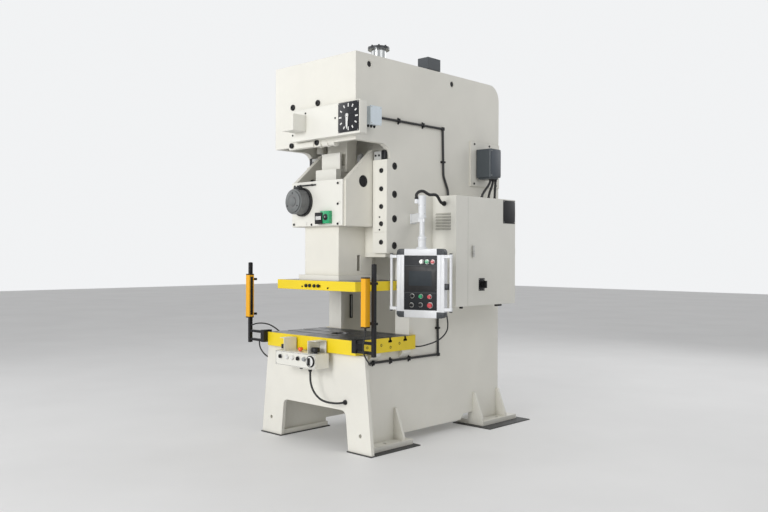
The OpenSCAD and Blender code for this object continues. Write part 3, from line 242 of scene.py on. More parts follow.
def brushed(name, colour, lay, rough=0.3, edge=0.001):
    finish = Finish(name)
    marks = finish.noise(1, 2, 0.6, finish.stretched(*lay))
    smear = finish.noise(14, 4)
    shade = finish.mix(finish.step(smear, 0.3, 0.8), colour, [c * 0.86 for c in colour])
    normal = finish.bump(marks, 0.16, 0.0003, finish.rounded(edge))
    return finish.done(finish.surface(Base_Color=shade, Metallic=1.0, Normal=normal,
                                      Roughness=rough + finish.step(smear, 0.3, 0.7) * 0.08 + marks * 0.05))


def twoTone(name, colour, inside, steelColour, lay):  # painted outside with machined faces inside a mask
    finish = Finish(name)
    x, y, z = finish.axes(finish.place)
    return finish.done(finish.blend(inside(x, y, z), sprayedPaint(finish, colour, dirt=0.5),
                                    cutSteel(finish, steelColour, lay)))


cream = (0.785, 0.77, 0.705)
yellow = (0.87, 0.655, 0.012)
creamPaint = paint("creamPaint", cream)
creamSheet = paint("creamSheet", (0.79, 0.78, 0.72), wave=0.3, edge=0.0015)
creamCast = paint("creamCast", (0.78, 0.76, 0.685), wave=1.8, edge=0.009)
amberPaint = paint("amberPaint", (0.86, 0.42, 0.004), wave=0.3, dirt=0.3, edge=0.0015)
blackPaint = paint("blackPaint", (0.012, 0.012, 0.014), wave=0.4, dirt=0.3, edge=0.0012, shine=0.25)
slatePaint = paint("slatePaint", (0.045, 0.058, 0.075), wave=0.5, dirt=0.3)
motorPaint = paint("motorPaint", (0.075, 0.085, 0.095), wave=0.6, shine=0.35)
paleBlue = moulded("paleBlue", (0.7, 0.78, 0.84), rough=0.42, cloud=1.05)
drumGrey = casting("drumGrey", (0.175, 0.185, 0.185), metal=0.15, rough=0.42)
flangeBlack = casting("flangeBlack", (0.022, 0.023, 0.024), metal=0.2, rough=0.45)
castIron = casting("castIron", (0.2, 0.2, 0.2), metal=0.7, rough=0.45)
turnedSteel = steel("turnedSteel", (0.52, 0.52, 0.53), (60, 900, 60))
darkScrew = steel("darkScrew", (0.035, 0.035, 0.038), (300, 300, 300), rough=0.38)
zincScrew = steel("zincScrew", (0.6, 0.6, 0.58), (300, 300, 300), rough=0.3)
chrome = brushed("chrome", (0.62, 0.63, 0.64), (40, 40, 900), rough=0.12)
paleRail = moulded("paleRail", (0.74, 0.755, 0.775), rough=0.38, coat=0.1, cloud=1.03)
greySteel = moulded("greySteel", (0.46, 0.465, 0.45), rough=0.45, cloud=1.08)
# a darker copy of the cabinet's cream, used as painted shade on the louvre hoods
shadedLouvreCream = moulded("shadedLouvreCream", (0.5, 0.49, 0.44), rough=0.45, cloud=1.06)
bronze = brushed("bronze", (0.52, 0.34, 0.13), (60, 700, 60), rough=0.3)
blackRubber = rubber("blackRubber", (0.016, 0.016, 0.017))
darkRubber = rubber("darkRubber", (0.03, 0.031, 0.03))
blackPlastic = moulded("blackPlastic", (0.011, 0.011, 0.012), rough=0.36, shine=0.3)
darkGrey = moulded("darkGrey", (0.045, 0.05, 0.055), rough=0.4, shine=0.3)
blackGloss = moulded("blackGloss", (0.008, 0.009, 0.012), rough=0.2, grain=0.04, coat=0.1, shine=0.3)
greenButton = moulded("greenButton", (0.012, 0.33, 0.13), rough=0.2, coat=0.5)
redButton = moulded("redButton", (0.5, 0.018, 0.03), rough=0.2, coat=0.5)
orangeButton = moulded("orangeButton", (0.8, 0.1, 0.015), rough=0.25, coat=0.4)
whiteButton = moulded("whiteButton", (0.72, 0.72, 0.7), rough=0.25, coat=0.4)
greyPlastic = moulded("greyPlastic", (0.3, 0.31, 0.32), rough=0.4)
bolsterFinish = twoTone("bolsterFinish", yellow,
                        lambda x, y, z: (z > 0.8605) * (y > -1.0895) * (y < -0.4095) * (abs(x) < 0.5505),
                        (0.17, 0.17, 0.175), (6, 300, 300))
plateFinish = twoTone("plateFinish", yellow,
                      lambda x, y, z: (z < 1.2835) + (z > 1.3625),
                      (0.3, 0.3, 0.31), (300, 8, 300))


def parted(name, axis, limit, before, past):      # two looks in one solid, parted by a plane
    finish = Finish(name)
    return finish.done(finish.blend(finish.axes(finish.place)[axis] > limit, before(finish), past(finish)))


silencerFinish = parted(
    "silencerFinish", 2, 3.3565,
    lambda f: f.surface(Base_Color=(0.42, 0.43, 0.43), Metallic=1.0, Roughness=0.22,
                        Normal=f.bump(f.noise(90, 2), 0.04, 0.0004)),
    lambda f: f.surface(Base_Color=(0.05, 0.052, 0.055), Metallic=0.7, Roughness=0.38,
                        Normal=f.bump(f.noise(300, 3), 0.2, 0.0004, f.rounded(0.0015))))
terminalFinish = parted(
    "terminalFinish", 0, 0.5138, lambda f: sprayedPaint(f, cream, wave=0.3),
    lambda f: sprayedPaint(f, (0.052, 0.064, 0.074), wave=0.4, dirt=0.3))
drumFinish = parted(
    "drumFinish", 1, -1.0365,
    lambda f: f.surface(Base_Color=f.ramp(f.noise(30, 4), (0.3, 0.15), (0.7, 0.19)), Metallic=0.1, Roughness=0.42,
                        Normal=f.bump(f.noise(260, 4), 0.3, 0.0005, f.rounded(0.003))),
    lambda f: f.surface(Base_Color=f.ramp(f.noise(40, 4), (0.3, 0.018), (0.7, 0.028)), Metallic=0.2, Roughness=0.45,
                        Normal=f.rounded(0.002)))

nodeFinishes = {
    creamPaint: ["side_plate_left", "side_plate_right", "frame_plates", "apron", "feet", "gibs",
                 "balance_cylinders"],
    creamCast: ["slide_body", "connecting_rod", "rod_cap"],
    creamSheet: ["rear_cover", "dial_box", "cabinet", "cabinet_door", "control_box", "slide_cover", "screw_guard"],
    amberPaint: ["light_curtains"],
    bolsterFinish: ["bolster"],
    plateFinish: ["face_plate"],
    blackPaint: ["light_posts"],
    slatePaint: ["control_gear"],
    terminalFinish: ["terminal_box"],
    motorPaint: ["motor"],
    paleBlue: ["head_junction_box"],
    drumFinish: ["adjusting_motor"],
    castIron: ["main_gear", "flywheel", "motor_pulley", "brake_housing"],
    turnedSteel: ["crankshaft", "crank_pin", "pinion_shaft", "ball_screw"],
    zincScrew: ["door_handle"],
    darkScrew: ["frame_bolts"],
    silencerFinish: ["silencer"],
    chrome: ["balance_rods"],
    paleRail: ["pendant_arm", "pendant_box"],
    bronze: ["crank_bushes", "ball_seat"],
    blackRubber: ["drive_belts", "conduits", "arm_hose", "control_hose", "cables"],
    darkRubber: ["foot_pads"],
    blackPlastic: ["height_counter", "main_switch", "palm_button_left", "palm_button_right", "control_rotary",
                   "pendant_selector"],
    orangeButton: ["control_estop"],
    greenButton: ["pendant_start"],
    redButton: ["pendant_stop", "pendant_estop"],
    whiteButton: ["pendant_reset", "dial_pointer"],
}
for finish, names in nodeFinishes.items():
    for name in names:
        slots = nodes[name].data.materials
        for i in range(len(slots)):
            slots[i] = finish
print("materials made")


# gathers rounded shapes into one mesh that rides on a body
class Piece:
    def __init__(self, name, body, slotName, *finishes):
        self.name, self.body, self.slotName, self.finishes = name, body, slotName, finishes
        self.mesh = bmesh.new()
        self.turn = Matrix.Identity(4)

    def keep(self, before, finish, matrix=None):
        fresh = [v for v in self.mesh.verts if v not in before]
        bmesh.ops.transform(self.mesh, matrix=self.turn @ (matrix or Matrix.Identity(4)), verts=fresh)
        for face in self.mesh.faces:
            if face.verts[0] not in before:
                face.material_index = finish

    def block(self, low, high, edge=0.001, finish=0, steps=2):
        before = set(self.mesh.verts)
        size = Vector(high) - Vector(low)
        made = bmesh.ops.create_cube(self.mesh, size=1)
        bmesh.ops.scale(self.mesh, vec=size, verts=made["verts"])
        edge = min(edge, min(size) * 0.45)
        edges = {e for v in made["verts"] for e in v.link_edges}
        bmesh.ops.bevel(self.mesh, geom=list(edges), offset=edge, segments=steps, profile=0.6, affect="EDGES")
        self.keep(before, finish, Matrix.Translation((Vector(low) + Vector(high)) / 2))

    def turned(self, base, along, profile, steps=32, finish=0):
        before = set(self.mesh.verts)             # profile: (radius, distance along the axis) pairs
        hollow = profile[0] == profile[-1]        # a profile that ends where it starts makes an open ring
        rings = []
        for radius, far in profile[:-1] if hollow else profile:
            if radius < 1e-6:
                rings.append([self.mesh.verts.new((0, 0, far))])
            else:
                rings.append([self.mesh.verts.new((radius * math.cos(2 * math.pi * k / steps),
                                                   radius * math.sin(2 * math.pi * k / steps), far))
                              for k in range(steps)])
        if hollow:
            rings.append(rings[0])
        for low, high in zip(rings, rings[1:]):
            for k in range(steps):
                quad = [low[k % len(low)], low[(k + 1) % len(low)], high[(k + 1) % len(high)], high[k % len(high)]]
                unique = list(dict.fromkeys(quad))
                if len(unique) > 2:
                    self.mesh.faces.new(unique)
        for end, flip in ((rings[0], True), (rings[-1], False)):
            if len(end) > 1 and not hollow:
                self.mesh.faces.new(list(reversed(end)) if flip else end)
        self.keep(before, finish, Matrix.Translation(base) @ Vector(along).to_track_quat("Z", "Y").to_matrix().to_4x4())

    def slab(self, outline, start, thick, plane="xz", edge=0.001, finish=0):
        before = set(self.mesh.verts)             # outline in a plane, thickness along its normal from start
        spread = {"xz": lambda a, b: (a, 0, b), "yz": lambda a, b: (0, a, b), "xy": lambda a, b: (a, b, 0)}[plane]
        lift = {"xz": Vector((0, 1, 0)), "yz": Vector((1, 0, 0)), "xy": Vector((0, 0, 1))}[plane]
        base = [self.mesh.verts.new(Vector(spread(a, b)) + lift * start) for a, b in outline]
        face = self.mesh.faces.new(base)
        made = bmesh.ops.extrude_face_region(self.mesh, geom=[face])
        far = [g for g in made["geom"] if isinstance(g, bmesh.types.BMVert)]
        bmesh.ops.translate(self.mesh, verts=far, vec=lift * thick)
        fresh = [v for v in self.mesh.verts if v not in before]
        bmesh.ops.recalc_face_normals(self.mesh, faces=list({f for v in fresh for f in v.link_faces}))
        if edge:
            edges = {e for v in fresh for e in v.link_edges if e.calc_face_angle(0) > 0.6}
            bmesh.ops.bevel(self.mesh, geom=list(edges), offset=edge, segments=2, profile=0.6, affect="EDGES")
        self.keep(before, finish)

    def socketScrew(self, base, along, radius, finish=0, tall=0.6):
        r, h = radius, radius * tall
        self.turned(base, along, [
            (r, 0), (r, h * 0.8), (r * 0.88, h), (r * 0.55, h), (r * 0.5, h * 0.35), (0, h * 0.3)], 20, finish)

    def hexHead(self, base, along, radius, finish=0, tall=0.7, washer=True):
        if washer:
            self.turned(base, along, [
                (radius * 1.35, 0), (radius * 1.35, radius * 0.16), (radius * 1.28, radius * 0.2)], 24, finish)
        self.turned(base, along, [
            (radius, radius * 0.18), (radius, radius * tall * 0.85), (radius * 0.86, radius * tall),
            (0, radius * tall)], 6, finish)

    def tube(self, path, radius, sides=12, finish=0, ribs=0.0):
        before = set(self.mesh.verts)
        points = [Vector(p) for p in path]
        rings, side = [], None
        for i, p in enumerate(points):
            ahead = (points[min(i + 1, len(points) - 1)] - points[max(i - 1, 0)]).normalized()
            side = side or ahead.orthogonal().normalized()
            side = (side - ahead * side.dot(ahead)).normalized()
            over = ahead.cross(side)
            r = radius * (1 - ribs * (i % 2))
            rings.append([self.mesh.verts.new(p + side * r * math.cos(2 * math.pi * k / sides)
                                              + over * r * math.sin(2 * math.pi * k / sides)) for k in range(sides)])
        for low, high in zip(rings, rings[1:]):
            for k in range(sides):
                self.mesh.faces.new((low[k], low[(k + 1) % sides], high[(k + 1) % sides], high[k]))
        self.mesh.faces.new(list(reversed(rings[0])))
        self.mesh.faces.new(rings[-1])
        self.keep(before, finish)

    def done(self, angle=38):
        data = bpy.data.meshes.new(self.name)
        bmesh.ops.recalc_face_normals(self.mesh, faces=self.mesh.faces)
        self.mesh.to_mesh(data)
        self.mesh.free()
        for finish in self.finishes:
            data.materials.append(finish)
        data.shade_smooth()
        data.set_sharp_from_angle(angle=math.radians(angle))
        made = bpy.data.objects.new(self.name, data)
        bpy.context.scene.collection.objects.link(made)
        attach(made, self.body)
        return made


def smooth(points, count):                        # a Catmull-Rom curve through the points, evenly spaced
    p = [Vector(q) for q in points]
    p = [p[0] * 2 - p[1]] + p + [p[-1] * 2 - p[-2]]
    fine = []
    for i in range(1, len(p) - 2):
        for s in range(24):
            t = s / 24
            fine.append(0.5 * (2 * p[i] + (p[i + 1] - p[i - 1]) * t
                               + (2 * p[i - 1] - 5 * p[i] + 4 * p[i + 1] - p[i + 2]) * t * t
                               + (3 * p[i] - p[i - 1] - 3 * p[i + 1] + p[i + 2]) * t ** 3))
    fine.append(p[-2])
    lengths = [0]
    for a, b in zip(fine, fine[1:]):
        lengths.append(lengths[-1] + (b - a).length)
    out, j = [], 0
    for k in range(count):
        want = lengths[-1] * k / (count - 1)
        while j < len(fine) - 2 and lengths[j + 1] < want:
            j += 1
        share = (want - lengths[j]) / max(1e-9, lengths[j + 1] - lengths[j])
        out.append(fine[j].lerp(fine[j + 1], min(1, max(0, share))))
    return out, lengths[-1]


# free cords, on the routes of the solids
thinCable = {"node": "cables", "radius": 0.006, "pitch": 0.012, "ribs": 0, "stiffness": "limp"}
cordRoutes = {
    "armHose": {"node": "arm_hose", "radius": 0.0128, "pitch": 0.005, "ribs": 0.12, "stiffness": "medium", "points": [
        (726, -574, 2035), (726, -574, 2052), (726, -573, 2074), (733, -556, 2094), (742, -532, 2103),
        (748, -507, 2101), (749, -481, 2092), (745, -452, 2084), (738, -420, 2080), (729, -384, 2082),
        (718, -346, 2086), (706, -306, 2086), (694, -270, 2078), (682, -240, 2064), (670, -212, 2049),
        (658, -184, 2037), (648, -156, 2029), (637, -128, 2026), (637, -105, 2026)]},
    "controlHose": {"node": "control_hose", "radius": 0.0088, "pitch": 0.0045, "ribs": 0.1, "stiffness": "medium",
                    "points": [
        (104, -1170, 640), (104, -1170, 612), (105, -1170, 580), (108, -1170, 550), (115, -1169, 520),
        (127, -1167, 491), (143, -1164, 465), (163, -1160, 442), (187, -1155, 423), (213, -1150, 408),
        (241, -1144, 399), (268, -1139, 394), (295, -1134, 392), (319, -1130, 392), (341, -1127, 392),
        (360, -1117, 392), (376, -1101, 393), (386, -1082, 394), (389, -1060, 394), (389, -1042, 394)]},
    "hangingCable": {**thinCable, "points": [
        (640, -80, 1136), (640, -80, 1105), (641, -76, 1070), (643, -70, 1034), (644, -64, 998), (642, -60, 962),
        (636, -62, 928), (628, -76, 898), (620, -102, 872), (611, -136, 850), (600, -172, 834), (588, -208, 822),
        (575, -244, 813), (563, -274, 806), (551, -299, 801), (537, -319, 798), (522, -330, 797), (510, -332, 797),
        (501.5, -332, 797)]},
    "postCable": {**thinCable, "points": [
        (-640, -1114, 814), (-640, -1114, 790), (-640, -1107, 762), (-640, -1092, 734), (-639, -1070, 706),
        (-636, -1044, 682), (-628, -1016, 662), (-613, -989, 648), (-590, -967, 638), (-562, -951, 633),
        (-530, -944, 632), (-501.5, -944, 632)]},
    "curtainCable": {**thinCable, "points": [
        (-759, -1114, 952), (-739, -1114, 952), (-711, -1107, 962), (-681, -1088, 968), (-652, -1062, 968),
        (-628, -1032, 960), (-612, -1000, 945), (-601, -966, 922), (-594, -934, 896), (-588, -908, 872),
        (-580, -890, 853), (-566, -884, 846), (-551, -884, 846)]},
    "loopCable": {**thinCable, "points": [
        (724, -1157, 1020), (724, -1157, 996), (720, -1157, 966), (711, -1156, 934), (702, -1154, 900),
        (696, -1151, 866), (694, -1146, 834), (692, -1135, 806), (688, -1116, 782), (680, -1092, 760),
        (668, -1064, 740), (652, -1036, 724), (632, -1008, 713), (608, -983, 707), (582, -961, 704),
        (556, -943, 704), (534, -926, 704), (519, -908, 704), (512, -896, 704), (512, -880, 704)]},
}


def layCords():
    for name, cord in cordRoutes.items():
        points = [[v / 1000 for v in p] for p in cord["points"]]
        length = smooth(points, 8)[1]
        path, length = smooth(points, max(16, int(length / cord["pitch"] * (2 if cord["ribs"] else 1))))
        piece = Piece(name, "frame", "black_rubber", blackRubber)
        piece.tube(path, cord["radius"], 12, 0, cord["ribs"])
        made = piece.done(60)
        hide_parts(cord["node"])
        print("cord", name, round(length, 3), "m")


layCords()
print("cords laid")


toFront, toBack, toRight, upward, downward = (0, -1, 0), (0, 1, 0), (1, 0, 0), (0, 0, 1), (0, 0, -1)


def plug(piece, base, along, radius):             # domed socket screw or stopper
    r = radius
    piece.turned(base, along, [
        (r, -0.003), (r, r * 0.22), (r * 0.93, r * 0.4), (r * 0.78, r * 0.5), (r * 0.5, r * 0.53),
        (r * 0.45, r * 0.25), (0, r * 0.2)], 28)


def gland(piece, base, along, radii, heights, finish, steps=20):
    nut, neck, bore = radii                       # heights of the nut, its cone, the neck and the rim
    piece.turned(base, along, [
        (nut, 0), (nut, heights[0]), (neck, heights[1]), (neck, heights[2]), (bore, heights[3])], steps, finish)


def openRing(piece, base, along, wide, slope, bore, steps, finish=0):    # a button runs in its bore
    piece.turned(base, along, [
        (wide, 0), (wide, 0.0025), (wide - slope, 0.004), (bore, 0.004), (bore, 0), (wide, 0)], steps, finish)


head = {"boxFace": -1.129, "side": 0.5015, "dial": (0.503, 2.664), "pivot": (0.491, 2.675),
        "plugs": [(-0.265, 2.838, -1.052, 0.026), (0.055, 2.838, -1.052, 0.026), (-0.267, 2.51, -1.066, 0.023),
                  (0.05, 2.51, -1.057, 0.025)],
        "liftY": (-0.901, 0.157), "liftZ": 3.118,
        "boxScrews": [(-0.176, 2.582), (-0.014, 2.75), (0.348, 2.671)],
        "dialScrewX": (0.3945, 0.6115), "dialScrewZ": (2.5535, 2.7735)}


def dressHead():
    boxFace, z = head["boxFace"], head["liftZ"]
    screws = Piece("headScrews", "frame", "black_steel", blackPlastic)
    for px, pz, py, radius in head["plugs"]:
        plug(screws, (px, py, pz), toFront, radius)
    screws.done()
    lips = Piece("liftingLipsAndHoleShade", "frame", "cream", creamPaint, blackPaint)
    for way, y in product((-1, 1), head["liftY"]):
        lips.turned((way * head["side"], y, z), (way, 0, 0), [
            (0.03, -0.002), (0.033, 0.0), (0.032, 0.002), (0.026, 0.002), (0.0242, -0.004), (0.03, -0.002)], 32)
        # a black disc inside each lifting hole is painted shade of the hole's depth
        lips.turned((way * (head["side"] - 0.006), y, z), (way, 0, 0), [(0.0239, -0.003), (0.0239, 0), (0, 0)], 28, 1)
    lips.done()
    dial = Piece("dialFace", "frame", "cream", blackGloss, whiteButton)
    dial.block((0.3865, boxFace - 0.0052, 2.5455), (0.6195, boxFace - 0.003, 2.7815), 0.0006)
    for k in range(12):                           # ticks, every third one longer
        dial.turn = (Matrix.Translation((head["dial"][0], boxFace - 0.0056, head["dial"][1]))
                     @ Matrix.Rotation(math.radians(30 * k), 4, "Y"))
        dial.block((-0.0058, -0.0004, 0.084 if k % 3 else 0.078), (0.0058, 0.0004, 0.107), 0.0003, 1)
    dial.turn = Matrix.Identity(4)
    for x, z in product(head["dialScrewX"], head["dialScrewZ"]):
        dial.socketScrew((x, boxFace - 0.005, z), toFront, 0.0035, 1, 0.4)
    dial.done()
    trim = Piece("dialBoxTrim", "frame", "cream", creamSheet, darkScrew)
    for x, z in head["boxScrews"]:
        trim.socketScrew((x, boxFace, z), toFront, 0.008, 1, 0.5)
    trim.block((-0.189, boxFace - 0.0025, 2.7865), (0.63, -1.053, 2.7905), 0.0015)     # folded lid's lip
    trim.block((0.6268, boxFace - 0.001, 2.53), (0.6285, -1.053, 2.788), 0.0006)       # side sheet's seam
    trim.done()
    hub = Piece("pointerHub", "pointer", "white_plastic", zincScrew)
    hub.turned((head["pivot"][0], boxFace - 0.012, head["pivot"][1]), toFront, [
        (0.012, 0), (0.012, 0.003), (0.009, 0.005), (0.004, 0.005), (0, 0.004)], 24)
    hub.done()


guides = {"plateX": 0.43975, "plateZ": (1.685, 1.838, 1.981, 2.128, 2.28), "sideX": 0.4975, "sideY": -0.594,
          "sideZ": (1.657, 1.881, 2.085, 2.32), "pinX": 0.42, "pinZ": (1.789, 1.894),
          "front": -0.6885, "back": -0.6495, "low": 2.3712}


def dressGuides():
    front, back, low = guides["front"], guides["back"], guides["low"]
    blocks = Piece("gibStopsAndGapShade", "frame", "cream", greySteel, blackPaint, darkScrew)
    for way in (-1, 1):
        a, b = sorted((way * 0.352, way * 0.432))
        blocks.block((a, front, low), (b, back, 2.444), 0.004)
        # a black block in the gap between the gib top and the head is painted shade of the dark frame inside
        a, b = sorted((way * 0.428, way * 0.474))
        blocks.block((a, -0.684, low), (b, back, 2.452), 0.01, 1, 3)
        for x in (0.372, 0.412):
            blocks.socketScrew((way * x, front, 2.408), toFront, 0.009, 2)
    blocks.done()
    discs = Piece("guideScrews", "frame", "black_steel", blackPlastic)
    for way in (-1, 1):
        for z in guides["plateZ"]:
            plug(discs, (way * guides["plateX"], -0.6892, z), toFront, 0.0205)
        for z in guides["sideZ"]:
            discs.turned((way * guides["sideX"], guides["sideY"], z), (way, 0, 0), [
                (0.0306, -0.004), (0.0306, 0.001), (0.028, 0.0035), (0.0145, 0.0035), (0.013, -0.002),
                (0, -0.002)], 32)
        for z in guides["pinZ"]:
            discs.socketScrew((way * guides["pinX"], -0.689, z), toFront, 0.007)
    discs.done()


dressHead()
dressGuides()
print("head dressed")


slide = {"front": -1.016, "motor": (-0.17, 2.026), "plate": -1.0335, "boltCircle": 0.114, "capCircle": 0.072,
         "ribs": (0.03, 0.048, 0.066, 0.084), "cheekHole": (0.3335, -0.797, 2.191), "knob": (0.15, 1.889),
         "coverScrews": [(-0.28, 2.165), (-0.29, 1.837), (-0.061, 1.832), (0.26, 2.165), (0.26, 1.996),
                         (0.26, 1.833)],
         "knobs": [(-0.105, 1.318), (-0.058, 1.319), (-0.001, 1.318), (0.048, 1.319)],
         "plateScrews": [(-0.158, 1.31), (0.161, 1.303)]}


def dressSlide():
    front, plate = slide["front"], slide["plate"]
    x, z = slide["motor"]
    motor = Piece("adjustingMotorTrim", "slide", "motor_grey", drumGrey, darkScrew, flangeBlack)
    for k in range(8):
        angle = math.radians(22.5 + 45 * k)
        far = slide["boltCircle"]
        motor.hexHead((x + far * math.cos(angle), front - 0.0195, z + far * math.sin(angle)), toFront, 0.0065, 1,
                      washer=False)
    motor.turned((x, front - 0.104, z), toFront, [
        (0.106, -0.004), (0.1068, 0.0), (0.1055, 0.0035), (0.0985, 0.0046), (0.0925, 0.0052), (0.091, 0.006),
        (0.0906, 0.015), (0.0885, 0.0166), (0.056, 0.0172), (0.0545, 0.015), (0.042, 0.015), (0.0405, 0.02),
        (0.038, 0.0216), (0, 0.0218)], 64)
    for k in range(3):
        angle = math.radians(90 + 120 * k)
        far = slide["capCircle"]
        motor.socketScrew((x + far * math.cos(angle), front - 0.1206, z + far * math.sin(angle)), toFront, 0.0055, 1)
    for rib in slide["ribs"]:                     # ribs turned in the drum
        motor.turned((x, front - rib - 0.003, z), toBack, [
            (0.1058, 0), (0.1074, 0.002), (0.1074, 0.006), (0.1058, 0.008)], 64)
    motor.block((x - 0.03, front - 0.085, z + 0.099), (x + 0.035, front - 0.035, z + 0.126), 0.004, 2)
    motor.done()
    rod = Piece("coverRod", "slide", "black_steel", blackPaint)
    rod.turned((-0.244, front - 0.0075, 2.166), toRight, [
        (0.005, 0), (0.006, 0.001), (0.006, 0.238), (0.005, 0.239)], 16)
    for x in (-0.2, -0.05):
        rod.block((x - 0.008, front - 0.0145, 2.158), (x + 0.008, front + 0.001, 2.174), 0.002)
    rod.done()
    cover = Piece("coverScrews", "slide", "black_steel", darkScrew)
    for x, z in slide["coverScrews"]:
        cover.socketScrew((x, front + 0.001, z), toFront, 0.01)
    x, y, z = slide["cheekHole"]
    for way in (-1, 1):                           # stoppers in the cheeks' holes
        cover.turned((way * x, y, z), (way, 0, 0), [
            (0.0496, -0.012), (0.0496, -0.002), (0.047, 0), (0.03, 0), (0.028, -0.004), (0, -0.004)], 40)
    cover.done()
    counter = Piece("counterTrim", "slide", "black_plastic", greenButton, blackGloss, whiteButton, zincScrew,
                    blackPlastic)
    counter.block((0.0235, -1.0575, 1.8345), (0.115, -1.0158, 1.9285), 0.004, 4)
    counter.block((0.0835, -1.0515, 1.837), (0.192, -1.0156, 1.941), 0.003)
    counter.block((0.034, -1.0588, 1.862), (0.104, -1.057, 1.904), 0.0006, 1)
    for k in range(5):                            # bare number wheels
        counter.block((0.038 + 0.013 * k, -1.0594, 1.868), (0.048 + 0.013 * k, -1.0586, 1.898), 0.0003, 2)
    x, z = slide["knob"]
    counter.turned((x, -1.051, z), toFront, [(0.026, 0), (0.026, 0.004), (0.023, 0.006), (0, 0.006)], 32, 1)
    counter.socketScrew((x, -1.057, z), toFront, 0.006, 3)
    counter.done()
    knobs = Piece("faceKnobs", "slide", "black_plastic", blackPlastic, darkScrew)
    for x, z in slide["knobs"]:
        knobs.turned((x, plate, z), toFront, [
            (0.014, 0), (0.0145, 0.002), (0.0145, 0.012), (0.0125, 0.0145), (0, 0.015)], 28)
    for x, z in slide["plateScrews"]:
        knobs.socketScrew((x, plate, z), toFront, 0.007, 1)
    knobs.done()


dressSlide()
print("slide dressed")


side = {"x": 0.5015, "conduitX": 0.5118, "elbows": [(-0.034, 0.704), (0.02, 2.699)],
        "clips": [(-0.556, 2.699, 0), (-0.247, 2.699, 0), (0.0278, 2.405, 1), (-0.0385, 0.938, 1),
                  (-0.417, 0.704, 0), (-0.646, 0.704, 0), (-0.852, 0.704, 0)],
        "plateScrews": [(0.48, 2.612), (0.711, 2.612), (0.476, 2.245), (0.82, 2.245)],
        "boxLeads": (0.545, 0.585, 0.622), "junctionLeads": (-0.965, -0.93, -0.895)}


def dressSide():
    wall, x = side["x"], side["conduitX"]
    clips = Piece("conduitClips", "frame", "black_plastic", blackPlastic)
    for y, z, upright in side["clips"]:
        for out, half, edge in ((x + 0.0135, 0.019, 0.004), (wall + 0.004, 0.028, 0.0015)):
            a, b = (half, 0.009) if upright else (0.009, half)
            clips.block((wall, y - a, z - b), (out, y + a, z + b), edge)
    for y, z in side["elbows"]:
        clips.block((wall + 0.0005, y - 0.015, z - 0.015), (x + 0.0135, y + 0.015, z + 0.015), 0.007, 0, 3)
    clips.done()
    box = Piece("terminalBoxTrim", "frame", "slate", slatePaint, zincScrew, blackPlastic)
    box.slab([(0.507, 2.306), (0.657, 2.306), (0.657, 2.554), (0.507, 2.554)], 0.6832, 0.0035, "yz", 0.002)
    for y, z in product((0.515, 0.649), (2.316, 2.544)):
        box.socketScrew((0.6865, y, z), toRight, 0.0045, 1, 0.5)
    for y in side["boxLeads"]:
        gland(box, (0.65, y, 2.2865), downward, (0.0165, 0.0135, 0.0115), (0.01, 0.013, 0.022, 0.024), 2)
    for y, z in side["plateScrews"]:
        box.socketScrew((0.5133, y, z), toRight, 0.01, 2, 0.5)
    box.done()
    junction = Piece("junctionTrim", "frame", "pale_blue", zincScrew, blackPlastic)
    for y, z in product((-0.99, -0.886), (2.622, 2.749)):
        junction.socketScrew((0.6193, y, z), toRight, 0.0045, 0, 0.5)
    for y in side["junctionLeads"]:
        gland(junction, (0.555, y, 2.6165), downward, (0.011, 0.008, 0), (0.01, 0.013, 0.02, 0.021), 1, 18)
    gland(junction, (x, -0.8805, 2.699), toBack, (0.015, 0.0125, 0.0105), (0.01, 0.013, 0.024, 0.026), 1)
    junction.done()


cabinet = {"top": 2.0935, "base": 1.1365, "side": 0.7655, "leads": (0.425, 0.53, 0.625), "louvres": 6,
           "louvreZ": 1.811, "louvrePitch": 0.026}


def dressCabinet():
    top, base, face = cabinet["top"], cabinet["base"], cabinet["side"]
    trim = Piece("cabinetTrim", "frame", "cream", shadedLouvreCream, blackPlastic)
    for i in range(cabinet["louvres"]):           # bent hoods, in a darkened cream that is painted shade
        z = cabinet["louvreZ"] + cabinet["louvrePitch"] * i
        trim.slab([(-0.105, z), (-0.116, z - 0.01), (-0.1164, z - 0.0088), (-0.105, z + 0.005)], 0.543, 0.164,
                  "yz", 0)
    for y in cabinet["leads"]:
        gland(trim, (0.64, y, top), upward, (0.017, 0.0135, 0.0115), (0.008, 0.011, 0.022, 0.024), 1)
    trim.turned((0.5158, 0.092, top), upward, [(0.0142, 0), (0.0142, 0.01), (0.012, 0.012), (0.0105, 0.02)], 20, 1)
    gland(trim, (0.637, -0.1045, 2.026), toFront, (0.022, 0.0165, 0.0135), (0.01, 0.014, 0.022, 0.024), 1, 24)
    gland(trim, (0.64, -0.08, base), downward, (0.012, 0.009, 0.0062), (0.009, 0.012, 0.022, 0.024), 1)
    for y0, y1 in ((-0.03, -0.004), (0.484, 0.568)):    # stops under the outer edge
        trim.block((0.742, y0, 1.118), (face, y1, base), 0.003, 1)
    trim.done()
    door = Piece("doorTrim", "door", "cream", zincScrew, blackPaint)
    door.block((face, 0.583, 1.873), (0.768, 0.771, 2.085), 0.001, 1)    # bare plate
    for y, z in product((0.594, 0.761), (1.885, 2.074)):
        door.socketScrew((0.7678, y, z), toRight, 0.004, 0, 0.4)
    door.block((face, 0.217, 1.265), (0.7668, 0.305, 1.377), 0.0006, 1)   # main switch's plate
    for y, z in product((0.226, 0.296), (1.274, 1.368)):
        door.socketScrew((0.7666, y, z), toRight, 0.0035, 0, 0.4)
    door.done()


dressSide()
dressCabinet()
print("side dressed")


# spots: x and the drop from the panel's top in mm, and the finish of a fixed cap or None for a bare ring
panel = {"pipe": (0.76, -0.542), "turn": 18, "front": -0.032, "top": 1.63, "low": 1.07, "seams": (0.137, 0.357),
         "faceLow": 0.4985, "faceTop": 0.0545, "handle": 0.262, "estop": (88, 457),
         "spots": [(12, 105, None), (60, 105, 1), (110, 105, 2), (-70, 384, None), (7, 386, None), (84, 388, None),
                   (-75, 458, 3), (4, 455, 3), (88, 457, None)]}


